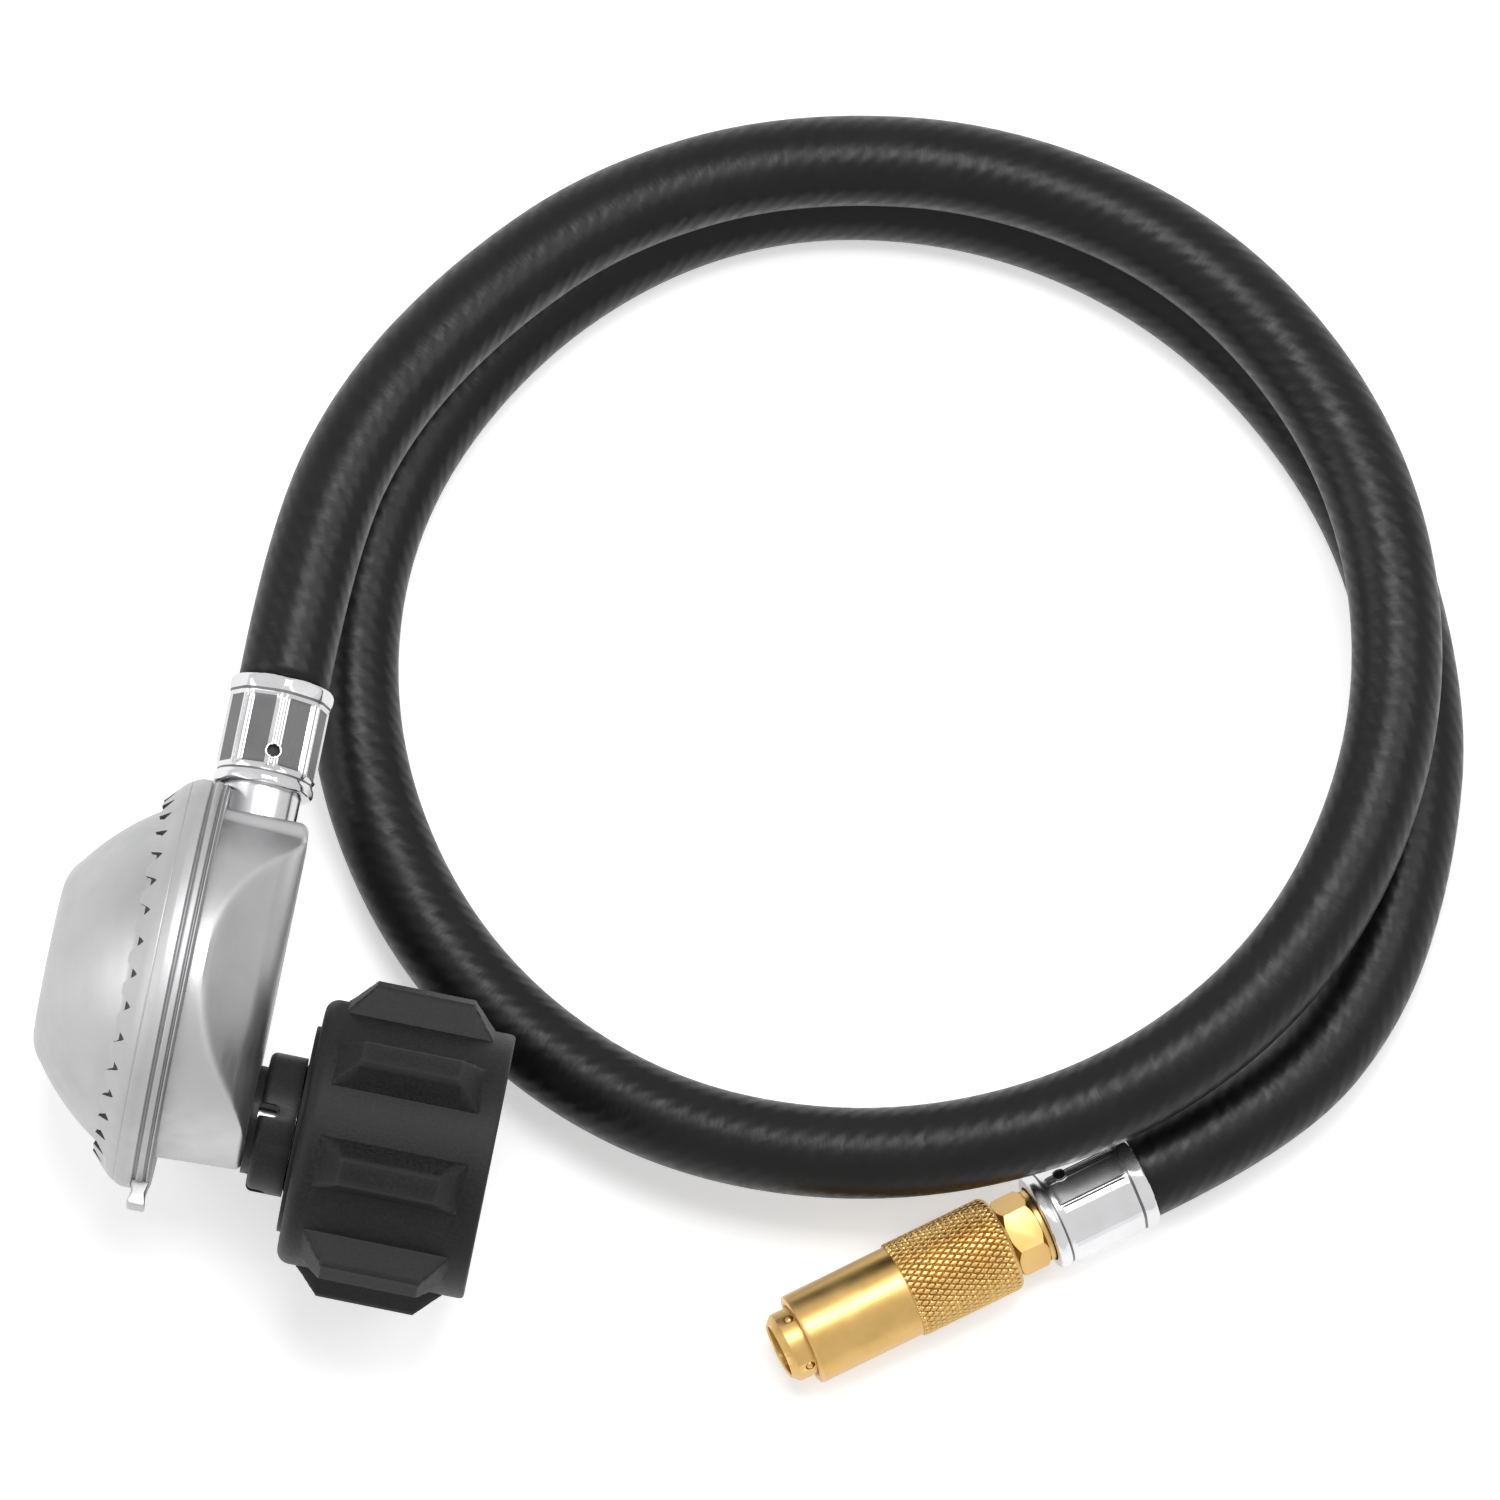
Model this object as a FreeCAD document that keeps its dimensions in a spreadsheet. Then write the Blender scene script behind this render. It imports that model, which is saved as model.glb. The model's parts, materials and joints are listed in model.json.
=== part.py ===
import FreeCAD, Part
import math
import os
import Sketcher
from FreeCAD import Placement, Rotation, Vector

# Low-pressure gas regulator with a nut for the cylinder valve, a loosely turned hose and a quick coupler.
# Millimetres. +X runs along the regulator's axis from the domed cover to the nut, +Y from the regulator to
# the hose outlet, +Z up. The regulator stands on its rim and the hose and the coupler lie on the same floor.
# The origin is on that floor, under the middle of the regulator with its nut and its own ferrule.

SIZES = {
    # Rim that clamps cover, diaphragm and body together
    "rim_radius": 36.2,
    "rim_width": 8.5,
    "rim_setback": 5.3,
    "rim_wall": 2.3,
    "rim_lip": 1.2,
    "rim_overlap": 6.4,
    "rim_bevel": 1.5,
    "rim_edge": 0.6,
    "rim_band": 4.7,
    "rim_drop": 2.4,
    "rim_bow": 0.08,
    "groove_pitch": 1.7,
    "groove_width": 0.85,
    "groove_depth": 0.2,
    "lip_step": 0.4,
    "tooth_thickness": 1.0,
    "tooth_depth": 2.4,
    "tooth_half_width": 2.55,
    "tooth_count": 36,
    "lug_width": 3.3,
    "lug_reach": 3.9,
    "lug_height": 6.0,
    "lug_edge": 0.4,
    "lug_bow": 0.09,
    # Domed cover
    "cover_depth": 16.7,
    "cover_wall": 1.8,
    "cover_face_radius": 13.0,
    "crown_depth": 2.3,
    "crown_width": 4.9,
    "crown_bow": 0.08,
    "dome_bow": 0.05,
    "vent_radius": 1.8,
    "screen_thickness": 0.8,
    # Body
    "flange_thickness": 2.1,
    "bowl_radius": 30.1,
    "bowl_depth": 16.1,
    "bowl_draft": 0.7,
    "bowl_edge": 1.2,
    "back_wall": 4.1,
    "cavity_radius": 27.0,
    "cavity_floor_radius": 15.0,
    "cavity_step": 0.6,
    "cavity_shoulder_depth": 6.6,
    "cavity_shoulder_width": 4.5,
    "bar_half_width": 9.0,
    "flank_half_width": 19.5,
    "flank_setback": 3.4,
    "flank_bow": 0.093,
    "boss_reach": 1.1,
    "boss_round": 1.8,
    "boss_half_width": 9.0,
    "outlet_bore_depth": 8.0,
    "outlet_thread_depth": 3.0,
    "pocket_half_width": 6.2,
    "post_thickness": 2.4,
    "post_half_length": 2.4,
    # Diaphragm and what it works
    "diaphragm_thickness": 1.0,
    "convolution_radius": 22.5,
    "convolution_half_width": 2.2,
    "convolution_wall": 0.5,
    "plate_radius": 17.5,
    "plate_thickness": 1.0,
    "plate_lip": 0.9,
    "stem_radius": 1.3,
    "stem_disc_radius": 3.4,
    "stem_head_radius": 3.2,
    "stem_washer_radius": 8.0,
    "stem_flange": 1.2,
    "fork_play": 0.55,
    "main_spring_radius": 10.0,
    "main_spring_wire": 1.8,
    "main_spring_turns": 4.5,
    "long_arm": 12.5,
    "lever_depth": 6.0,
    "lever_thickness": 1.2,
    "lever_half_width": 2.8,
    "pin_radius": 1.0,
    "eye_wall": 1.1,
    "seat_radius": 2.6,
    "seat_thickness": 1.5,
    "valve_lift": 1.3,
    "orifice_radius": 3.0,
    "orifice_hole": 1.2,
    "orifice_lip": 0.5,
    "orifice_flange": 0.8,
    "orifice_cone": 1.6,
    "orifice_length": 4.5,
    # Inlet nipple, bushing and nut
    "inlet_offset": 20.6,
    "nipple_root_radius": 6.0,
    "nipple_shank_radius": 6.5,
    "nipple_collar_radius": 10.5,
    "nipple_nose_radius": 7.8,
    "nipple_bore": 5.2,
    "nipple_setback": 5.1,
    "nipple_bore_depth": 15.0,
    "nipple_waist": 2.2,
    "collar_length": 3.2,
    "collar_bevel": 0.9,
    "tip_bevel": 1.3,
    "bore_cone": 1.6,
    "seal_setback": 5.2,
    "seal_groove_length": 2.6,
    "seal_groove_depth": 1.3,
    "seal_bow": 0.36,
    "cage_depth": 2.6,
    "cage_floor": 1.0,
    "cage_wall": 1.2,
    "cage_recess": 0.6,
    "window_radius": 0.85,
    "window_count": 3,
    "plunger_setback": 5.0,
    "plunger_head_length": 1.6,
    "plunger_head_radius": 3.4,
    "plunger_stem_radius": 1.2,
    "plunger_tail_radius": 1.4,
    "flow_spring_radius": 4.2,
    "flow_spring_wire": 0.6,
    "flow_spring_turns": 4.0,
    "strainer_thickness": 0.8,
    "bushing_neck_length": 1.4,
    "bushing_neck_radius": 9.5,
    "bushing_length": 7.9,
    "bushing_radius": 12.3,
    "bushing_round": 1.2,
    "bushing_slot_count": 4,
    "bushing_slot_width": 2.3,
    "bushing_slot_depth": 3.5,
    "nut_gap": 0.35,
    "nut_ring_radius": 18.2,
    "nut_ring_length": 0.8,
    "nut_radius": 23.4,
    "nut_length": 34.25,
    "nut_back_wall": 3.2,
    "nut_bore": 15.7,
    "nut_corner": 2.4,
    "nut_edge": 0.8,
    "nut_lead": 1.2,
    "pad_count": 8,
    "pad_height": 4.75,
    "pad_length": 24.7,
    "pad_width": 8.8,
    "pad_top_length": 17.2,
    "pad_top_width": 4.6,
    "pad_sink": 1.0,
    # Hose and its two ferrules
    "hose_radius": 8.0,
    "hose_crimped_radius": 7.5,
    "hose_bore": 4.75,
    "ferrule_length": 21.6,
    "ferrule_radius": 8.85,
    "ferrule_side": 8.65,
    "ferrule_flat": 8.35,
    "ferrule_flat_width": 6.4,
    "ferrule_flats": 8,
    "ferrule_lip": 3.0,
    "ferrule_lip_radius": 8.95,
    "ferrule_mouth_radius": 9.2,
    "ferrule_bend": 0.8,
    "ferrule_flare": 1.0,
    "ferrule_floor": 0.8,
    "ferrule_clearance": 0.4,
    "peep_radius": 1.15,
    "peep_setback": 6.6,
    "outlet_radius": 7.0,
    "outlet_thread_radius": 5.2,
    "barb_bore": 3.2,
    "barb_depth": 0.6,
    "barb_setback": 3.0,
    # Quick coupler
    "stem_collar": 0.9,
    "hex_across_flats": 12.6,
    "hex_length": 5.8,
    "hex_corner": 1.0,
    "hex_face": 0.1,
    "hex_bevel": 0.8,
    "spigot_radius": 5.2,
    "spigot_length": 8.0,
    "coupler_gap": 0.35,
    "sleeve_length": 39.9,
    "knurl_length": 19.9,
    "knurl_radius": 8.85,
    "sleeve_radius": 8.4,
    "sleeve_bore": 6.5,
    "sleeve_guide": 0.6,
    "sleeve_edge": 0.5,
    "sleeve_lead": 0.5,
    "knurl_round": 1.4,
    "sleeve_travel": 4.0,
    "nose_radius": 6.4,
    "nose_lead": 0.4,
    "nose_bevel": 1.3,
    "nose_shoulder": 0.6,
    "socket_neck": 1.2,
    "socket_shoulder": 1.5,
    "socket_bore": 4.8,
    "ball_radius": 0.85,
    "ball_count": 4,
    "ball_setback": 0.15,
    "ball_reach": 0.2,
    "plug_seal_place": 3.0,
    "plug_seal_width": 2.2,
    "plug_seal_depth": 0.7,
    "plug_seal_bow": 0.125,
    "spring_seat": 14.0,
    "spring_room": 13.0,
    "sleeve_spring_wire": 0.8,
    "sleeve_spring_turns": 5.0,
    "valve_setback": 13.0,
    "valve_wall": 1.2,
    "valve_port_radius": 2.6,
    "poppet_radius": 3.7,
    "poppet_travel": 2.5,
    "poppet_head": 1.6,
    "poppet_tail": 1.4,
    "poppet_step": 0.9,
    "poppet_nose_radius": 2.0,
    "poppet_nose_reach": 2.0,
    "poppet_seal_thickness": 1.0,
    "poppet_spring_wire": 0.6,
    "poppet_spring_turns": 5.0,
    # Clearances
    "slip": 0.05,
    "air": 0.3,
}

# Route of the hose's centre line, between the regulator's ferrule and the coupler's ferrule. The strand that
# leaves the regulator comes down onto the strand below it and follows it round, then drops to the floor.
HOSE_ROUTE = [
    (-11, 78, 36.2),
    (-5, 103, 34.7),
    (9, 127, 31.8),
    (29, 149, 28.4),
    (58, 165, 25.6),
    (96, 171, 25),
    (137, 161, 25),
    (170, 131, 25),
    (184, 89, 25),
    (176, 44, 25),
    (149, 10, 24.5),
    (109, -9, 21),
    (65, -9, 15),
    (26, 12, 9.5),
    (1, 49, 8),
    (-3, 92, 8),
    (16.5, 133, 8),
    (50.5, 161, 8),
    (94, 169, 8),
    (136, 158, 8),
    (170, 130, 8),
    (187, 95, 8),
    (190, 67, 8),
    (187, 40, 8.2),
    (174.8, 17.2, 8.8),
]
COUPLER_PLACE = (154.3, 1.3, 9.2)
COUPLER_ANGLE = 217.8
ARC_SHARE = 0.45

# Turns of three pieces about their own axes, in degrees
NEAR_FERRULE_ROLL = -27.2
FAR_FERRULE_ROLL = 15.5
HEX_ROLL = -4
BALL_ROLL = 35

# How far a cut runs past the face that it opens
OVERCUT = 0.2

# Bows of a quarter round and of a half round, as shares of their chords
QUARTER_BOW = (math.sqrt(2) - 1) / 2
HALF_ROUND_BOW = 0.5

# How far the cover's inner slope lies back and in from its outer one, as a share of the wall
INSIDE_SHARE = 0.72

# Teeth of a hose barb, and the share of each that its steep side takes
BARBS = 4
BARB_SLOPE = 0.2

# Sections of a coil spring
SECTIONS_PER_TURN = 12
WIRE_SIDES = 6


class Size:
    """A number that also knows the sheet formula it comes from."""

    def __init__(self, value, formula):
        self.value = float(value)
        self.formula = formula

    def __add__(self, other):
        return join(self, "+", other)

    def __radd__(self, other):
        return join(other, "+", self)

    def __sub__(self, other):
        return join(self, "-", other)

    def __rsub__(self, other):
        return join(other, "-", self)

    def __mul__(self, other):
        return join(self, "*", other)

    def __rmul__(self, other):
        return join(other, "*", self)

    def __truediv__(self, other):
        return join(self, "/", other)

    def __neg__(self):
        return join(0, "-", self)


def size(number):
    return number if isinstance(number, Size) else Size(number, repr(float(number)))


def join(left, sign, right):
    left = size(left)
    right = size(right)
    results = {
        "+": left.value + right.value,
        "-": left.value - right.value,
        "*": left.value * right.value,
        "/": left.value / right.value if right.value else 0.0,
    }
    return Size(results[sign], f"({left.formula} {sign} {right.formula})")


class SheetSizes:
    """The sheet's cells as sizes, by name."""

    def __getattr__(self, name):
        return Size(SIZES[name], f"Sizes.{name}")


doc = FreeCAD.newDocument("regulator_hose")
sheet = doc.addObject("Spreadsheet::Sheet", "Sizes")
for row, (name, number) in enumerate(SIZES.items(), start=1):
    sheet.set(f"A{row}", name)
    sheet.set(f"B{row}", str(number))
    sheet.setAlias(f"B{row}", name)
doc.recompute()
d = SheetSizes()
parts = []

# Places along the regulator's axis, from the outlet's axis at zero
rim_back = -d.rim_setback
rim_front = rim_back - d.rim_width
cover_front = rim_front - d.cover_depth
shoulder = rim_front - d.rim_bevel
crown = cover_front + d.crown_depth
vent_x = (crown + shoulder) / 2
flange_back = rim_back - d.rim_lip
flange_front = flange_back - d.flange_thickness
diaphragm_front = flange_front - d.diaphragm_thickness
body_back = flange_back + d.bowl_depth
bushing_front = body_back + d.bushing_length
nut_back = bushing_front + d.nut_gap
nut_front = nut_back + d.nut_length
nut_floor = nut_back + d.nut_ring_length + d.nut_back_wall
nipple_tip = nut_front - d.nipple_setback
axis_height = d.rim_radius

# Distances from that axis
clamp_radius = d.rim_radius - d.rim_wall
cover_base_radius = d.rim_radius - d.rim_overlap
crown_radius = d.cover_face_radius + d.crown_width
boss_height = d.bowl_radius + d.boss_reach

# The lever's middle plane, its pin and the orifice whose rim stands off the seat by the valve's lift
lever_plane = flange_front + d.lever_depth
seat_front = lever_plane + d.lever_thickness / 2
orifice_front = seat_front + d.seat_thickness + d.valve_lift
nipple_root = orifice_front + d.orifice_cone
collar_front = nut_floor + d.air
collar_back = collar_front + d.collar_length
seal_middle = nipple_tip - d.seal_setback
seal_floor = d.nipple_nose_radius - d.seal_groove_depth

# Excess-flow cartridge inside the nipple
nipple_bore_floor = nipple_tip - d.nipple_bore_depth
cage_back = nipple_tip - d.cage_depth
plunger_head = cage_back - d.plunger_setback
plunger_ledge = plunger_head - d.plunger_head_length

# Places along the outlet, from the regulator's axis
ferrule_start = d.rim_radius + d.ferrule_clearance
ferrule_end = ferrule_start + d.ferrule_length
barb_root = d.hose_bore - d.barb_depth

# How far a nut pad reaches sideways: the widest pads stand 67.5 degrees from the vertical
PAD_PHASE = 22.5
PAD_SIN = math.sin(math.radians(3 * PAD_PHASE))
PAD_COS = math.cos(math.radians(3 * PAD_PHASE))
pad_top_radius = d.nut_radius + d.pad_height
pad_reach = pad_top_radius * PAD_SIN + d.pad_top_width / 2 * PAD_COS

# The regulator's axis seen from the origin
frame_x = -(cover_front + nut_front) / 2
frame_y = -(ferrule_end - d.inlet_offset - pad_reach) / 2

# The two pieces that the coupler is built from meet at these places along its axis
hex_start = d.ferrule_length
hex_end = hex_start + d.hex_length
spigot_end = hex_end + d.spigot_length
sleeve_start = hex_end + d.coupler_gap
sleeve_end = sleeve_start + d.sleeve_length
nose_end = sleeve_end + d.sleeve_travel + d.nose_lead


def place(thing, x, y, z, rotation=Rotation()):
    base = [size(x), size(y), size(z)]
    thing.Placement = Placement(Vector(*(part.value for part in base)), rotation)
    for axis, part in zip("xyz", base):
        thing.setExpression(f"Placement.Base.{axis}", part.formula)


def on_regulator(thing, x=0, y=0, z=0, rotation=Rotation()):
    """Places a thing in the regulator's frame: x along its axis, y towards the outlet."""
    place(thing, frame_x + x, frame_y + y, axis_height + z, rotation)


def on_inlet(thing, x=0, rotation=Rotation()):
    on_regulator(thing, x, -d.inlet_offset, 0, rotation)


def on_coupler(thing, distance=0, roll=0):
    """Places a thing on the coupler's axis, some way from the hose's end towards the nose."""
    x, y, z = COUPLER_PLACE
    turn = math.radians(COUPLER_ANGLE)
    place(thing, x + distance * math.cos(turn), y + distance * math.sin(turn), z,
          Rotation(Vector(0, 0, 1), COUPLER_ANGLE) * Rotation(Vector(1, 0, 0), roll))


def keep(thing, label):
    thing.Label = label
    parts.append(thing)
    return thing


def new_body(label):
    return keep(doc.addObject("PartDesign::Body", label), label)


def new_sketch(body, plane, offset=0, roll=0):
    """Sketch on an origin plane, moved along its normal and rolled about its own x axis."""
    sketch = body.newObject("Sketcher::SketchObject", "Sketch")
    support = next(item for item in body.Origin.OriginFeatures if item.Role == plane)
    sketch.AttachmentSupport = (support, [""])
    sketch.MapMode = "FlatFace"
    sketch.AttachmentOffset = Placement(Vector(0, 0, size(offset).value), Rotation(Vector(1, 0, 0), roll))
    if isinstance(offset, Size):
        sketch.setExpression("AttachmentOffset.Base.z", offset.formula)
    return sketch


def pin(sketch, item, vertex, x, y):
    """Binds one point of a sketch to the sheet."""
    for kind, number in (("DistanceX", size(x)), ("DistanceY", size(y))):
        index = sketch.addConstraint(Sketcher.Constraint(kind, -1, 1, item, vertex, number.value))
        sketch.setExpression(f"Constraints[{index}]", number.formula)


def outline(sketch, corners):
    """Closed outline of (x, y) corners. A third number makes the side after a corner an arc, which bows
    to the left of the way round by that share of its chord."""
    ends = []
    for here, after in zip(corners, corners[1:] + corners[:1]):
        x1, y1, x2, y2 = size(here[0]), size(here[1]), size(after[0]), size(after[1])
        start = Vector(x1.value, y1.value, 0)
        finish = Vector(x2.value, y2.value, 0)
        if len(here) == 2:
            item = sketch.addGeometry(Part.LineSegment(start, finish))
            ends.append((item, 1, 2))
            continue
        x = (x1 + x2) / 2 - (y2 - y1) * here[2]
        y = (y1 + y2) / 2 + (x2 - x1) * here[2]
        middle = Vector(x.value, y.value, 0)
        item = sketch.addGeometry(Part.Arc(start, middle, finish))
        forward = (sketch.getPoint(item, 1) - start).Length < 1e-6
        ends.append((item, 1, 2) if forward else (item, 2, 1))
        marker = sketch.addGeometry(Part.Point(middle), True)
        pin(sketch, marker, 1, x, y)
        sketch.addConstraint(Sketcher.Constraint("PointOnObject", marker, 1, item))
    for (item, first, _), corner, (before, _, last) in zip(ends, corners, ends[-1:] + ends[:-1]):
        sketch.addConstraint(Sketcher.Constraint("Coincident", before, last, item, first))
        pin(sketch, item, first, corner[0], corner[1])


def circle(sketch, x, y, radius):
    radius = size(radius)
    centre = Vector(size(x).value, size(y).value, 0)
    item = sketch.addGeometry(Part.Circle(centre, Vector(0, 0, 1), radius.value))
    pin(sketch, item, 3, x, y)
    index = sketch.addConstraint(Sketcher.Constraint("Radius", item, radius.value))
    sketch.setExpression(f"Constraints[{index}]", radius.formula)


def rectangle(sketch, low_x, low_y, high_x, high_y):
    outline(sketch, [(low_x, low_y), (high_x, low_y), (high_x, high_y), (low_x, high_y)])


def add_feature(body, kind, sketch, **settings):
    """Adds a sketch-based feature and checks that it changes the body the way its kind says."""
    before = body.Shape.Volume if body.Tip else 0.0
    feature = body.newObject(f"PartDesign::{kind}", kind)
    feature.Profile = sketch
    for name, setting in settings.items():
        if isinstance(setting, Size):
            feature.setExpression(name, setting.formula)
            setting = setting.value
        setattr(feature, name, setting)
    doc.recompute()
    grows = kind in ("Pad", "Revolution", "AdditivePipe", "AdditiveLoft")
    change = body.Shape.Volume - before
    if (change <= 0.001) if grows else (change >= -0.001):
        raise RuntimeError(f"{body.Label}: {kind} changes nothing")
    return feature


def revolve(body, corners, kind="Revolution"):
    """Turns an outline of (x, radius) corners about the body's own x axis."""
    sketch = new_sketch(body, "XY_Plane")
    outline(sketch, corners)
    return add_feature(body, kind, sketch, ReferenceAxis=(sketch, ["H_Axis"]), Angle=360.0)


def turned(label, corners):
    body = new_body(label)
    revolve(body, corners)
    return body


def polar(body, feature, count, axis="X_Axis"):
    pattern = body.newObject("PartDesign::PolarPattern", "PolarPattern")
    pattern.Originals = [feature]
    line = next(item for item in body.Origin.OriginFeatures if item.Role == axis)
    pattern.Axis = (line, [""])
    pattern.Angle = 360.0
    pattern.Occurrences = int(size(count).value)
    if isinstance(count, Size):
        pattern.setExpression("Occurrences", count.formula)
    before = body.Shape.Volume
    body.Tip = pattern
    doc.recompute()
    if abs(body.Shape.Volume - before) < 0.001:
        raise RuntimeError(f"{body.Label}: pattern changes nothing")
    return pattern


def mirrored(body, feature, plane):
    mirror = body.newObject("PartDesign::Mirrored", "Mirrored")
    mirror.Originals = [feature]
    mirror.MirrorPlane = (next(item for item in body.Origin.OriginFeatures if item.Role == plane), [""])
    body.Tip = mirror
    doc.recompute()
    return mirror


def add_spring(label, radius, wire, length, turns):
    """Compression spring about its own z axis: a ruled loft through its wire's sections."""
    count = round(turns.value * SECTIONS_PER_TURN)
    climb = length - wire
    slope = math.degrees(math.atan2(climb.value, 2 * math.pi * radius.value * turns.value))
    sections = []
    for index in range(count + 1):
        angle = 360 * index / SECTIONS_PER_TURN
        section = doc.addObject("Part::RegularPolygon", "WireSection")
        section.Polygon = WIRE_SIDES
        section.setExpression("Circumradius", (wire / 2).formula)
        place(section, radius * math.cos(math.radians(angle)), radius * math.sin(math.radians(angle)),
              wire / 2 + climb * (index / count),
              Rotation(Vector(0, 0, 1), angle) * Rotation(Vector(1, 0, 0), 90 + slope))
        sections.append(section)
    coil = doc.addObject("Part::Loft", label)
    coil.Sections = sections
    coil.Solid = True
    coil.Ruled = True
    return keep(coil, label)


def make_cover():
    """Domed cover: flat face, rounded shoulder and a bevelled flange under the rim's toothed lip."""
    wall = d.cover_wall
    inside = INSIDE_SHARE * wall
    body = turned("cover", [
        (cover_front, 0),
        (cover_front, d.cover_face_radius, d.crown_bow),
        (crown, crown_radius, d.dome_bow),
        (shoulder, cover_base_radius),
        (shoulder, cover_base_radius + d.lip_step),
        (diaphragm_front - wall, clamp_radius),
        (diaphragm_front, clamp_radius),
        (diaphragm_front, cover_base_radius - wall + d.lip_step),
        (shoulder + inside, cover_base_radius - wall, -d.dome_bow),
        (crown + inside, crown_radius - inside, -d.crown_bow),
        (cover_front + wall, d.cover_face_radius - wall / 2),
        (cover_front + wall, 0),
    ])
    vent = new_sketch(body, "XY_Plane", -crown_radius)
    circle(vent, vent_x, 0, d.vent_radius)
    add_feature(body, "Pocket", vent, Length=d.rim_radius - crown_radius, Reversed=False)
    on_regulator(body)


def make_vent_screen():
    screen = keep(doc.addObject("Part::Cylinder", "vent_screen"), "vent_screen")
    screen.setExpression("Radius", d.vent_radius.formula)
    screen.setExpression("Height", d.screen_thickness.formula)
    on_regulator(screen, vent_x, 0, -(crown_radius + cover_base_radius) / 2)


def make_crimp_ring():
    """Rolled rim round the joint, with a toothed lip laid on the cover's bevel and a lug at the bottom."""
    radius = d.rim_radius
    inner = d.bowl_radius + d.slip
    lip = cover_base_radius + d.lip_step
    grooves = []
    for index in range(2):
        edge = rim_back - d.rim_edge - d.groove_pitch * index
        grooves.append((edge, radius))
        grooves.append((edge - d.groove_width / 2, radius - d.groove_depth))
        grooves.append((edge - d.groove_width, radius))
    body = turned("crimp_ring", [
        (shoulder, lip),
        (diaphragm_front - d.cover_wall, clamp_radius),
        (flange_back, clamp_radius),
        (flange_back, inner),
        (rim_back, inner),
        (rim_back, radius - d.rim_edge),
        *grooves,
        (rim_back - d.rim_band, radius, -d.rim_bow),
        (rim_front, radius - d.rim_drop),
        (rim_front - d.tooth_depth, lip + d.tooth_thickness),
        (rim_front - d.tooth_depth, lip),
    ])
    notch = new_sketch(body, "XY_Plane", cover_base_radius - OVERCUT)
    outline(notch, [
        (rim_front, 0),
        (rim_front - d.tooth_depth - OVERCUT, d.tooth_half_width),
        (rim_front - d.tooth_depth - OVERCUT, -d.tooth_half_width),
    ])
    first = add_feature(body, "Pocket", notch, Length=radius - cover_base_radius, Reversed=True)
    polar(body, first, d.tooth_count)
    lug = new_sketch(body, "XY_Plane")
    front = rim_back - d.lug_width
    root = d.rim_edge + OVERCUT - radius
    tip = -(radius + d.lug_reach)
    edge = d.lug_edge
    outline(lug, [
        (front, root, d.lug_bow),
        (front, tip + edge),
        (front + edge, tip),
        (rim_back - edge, tip),
        (rim_back, tip + edge, d.lug_bow),
        (rim_back, root),
    ])
    add_feature(body, "Pad", lug, Length=d.lug_height, Midplane=True)
    relief = new_sketch(body, "XZ_Plane")
    circle(relief, 0, 0, d.outlet_radius + d.slip)
    add_feature(body, "Pocket", relief, Length=radius + OVERCUT, Reversed=False)
    on_regulator(body)


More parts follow.
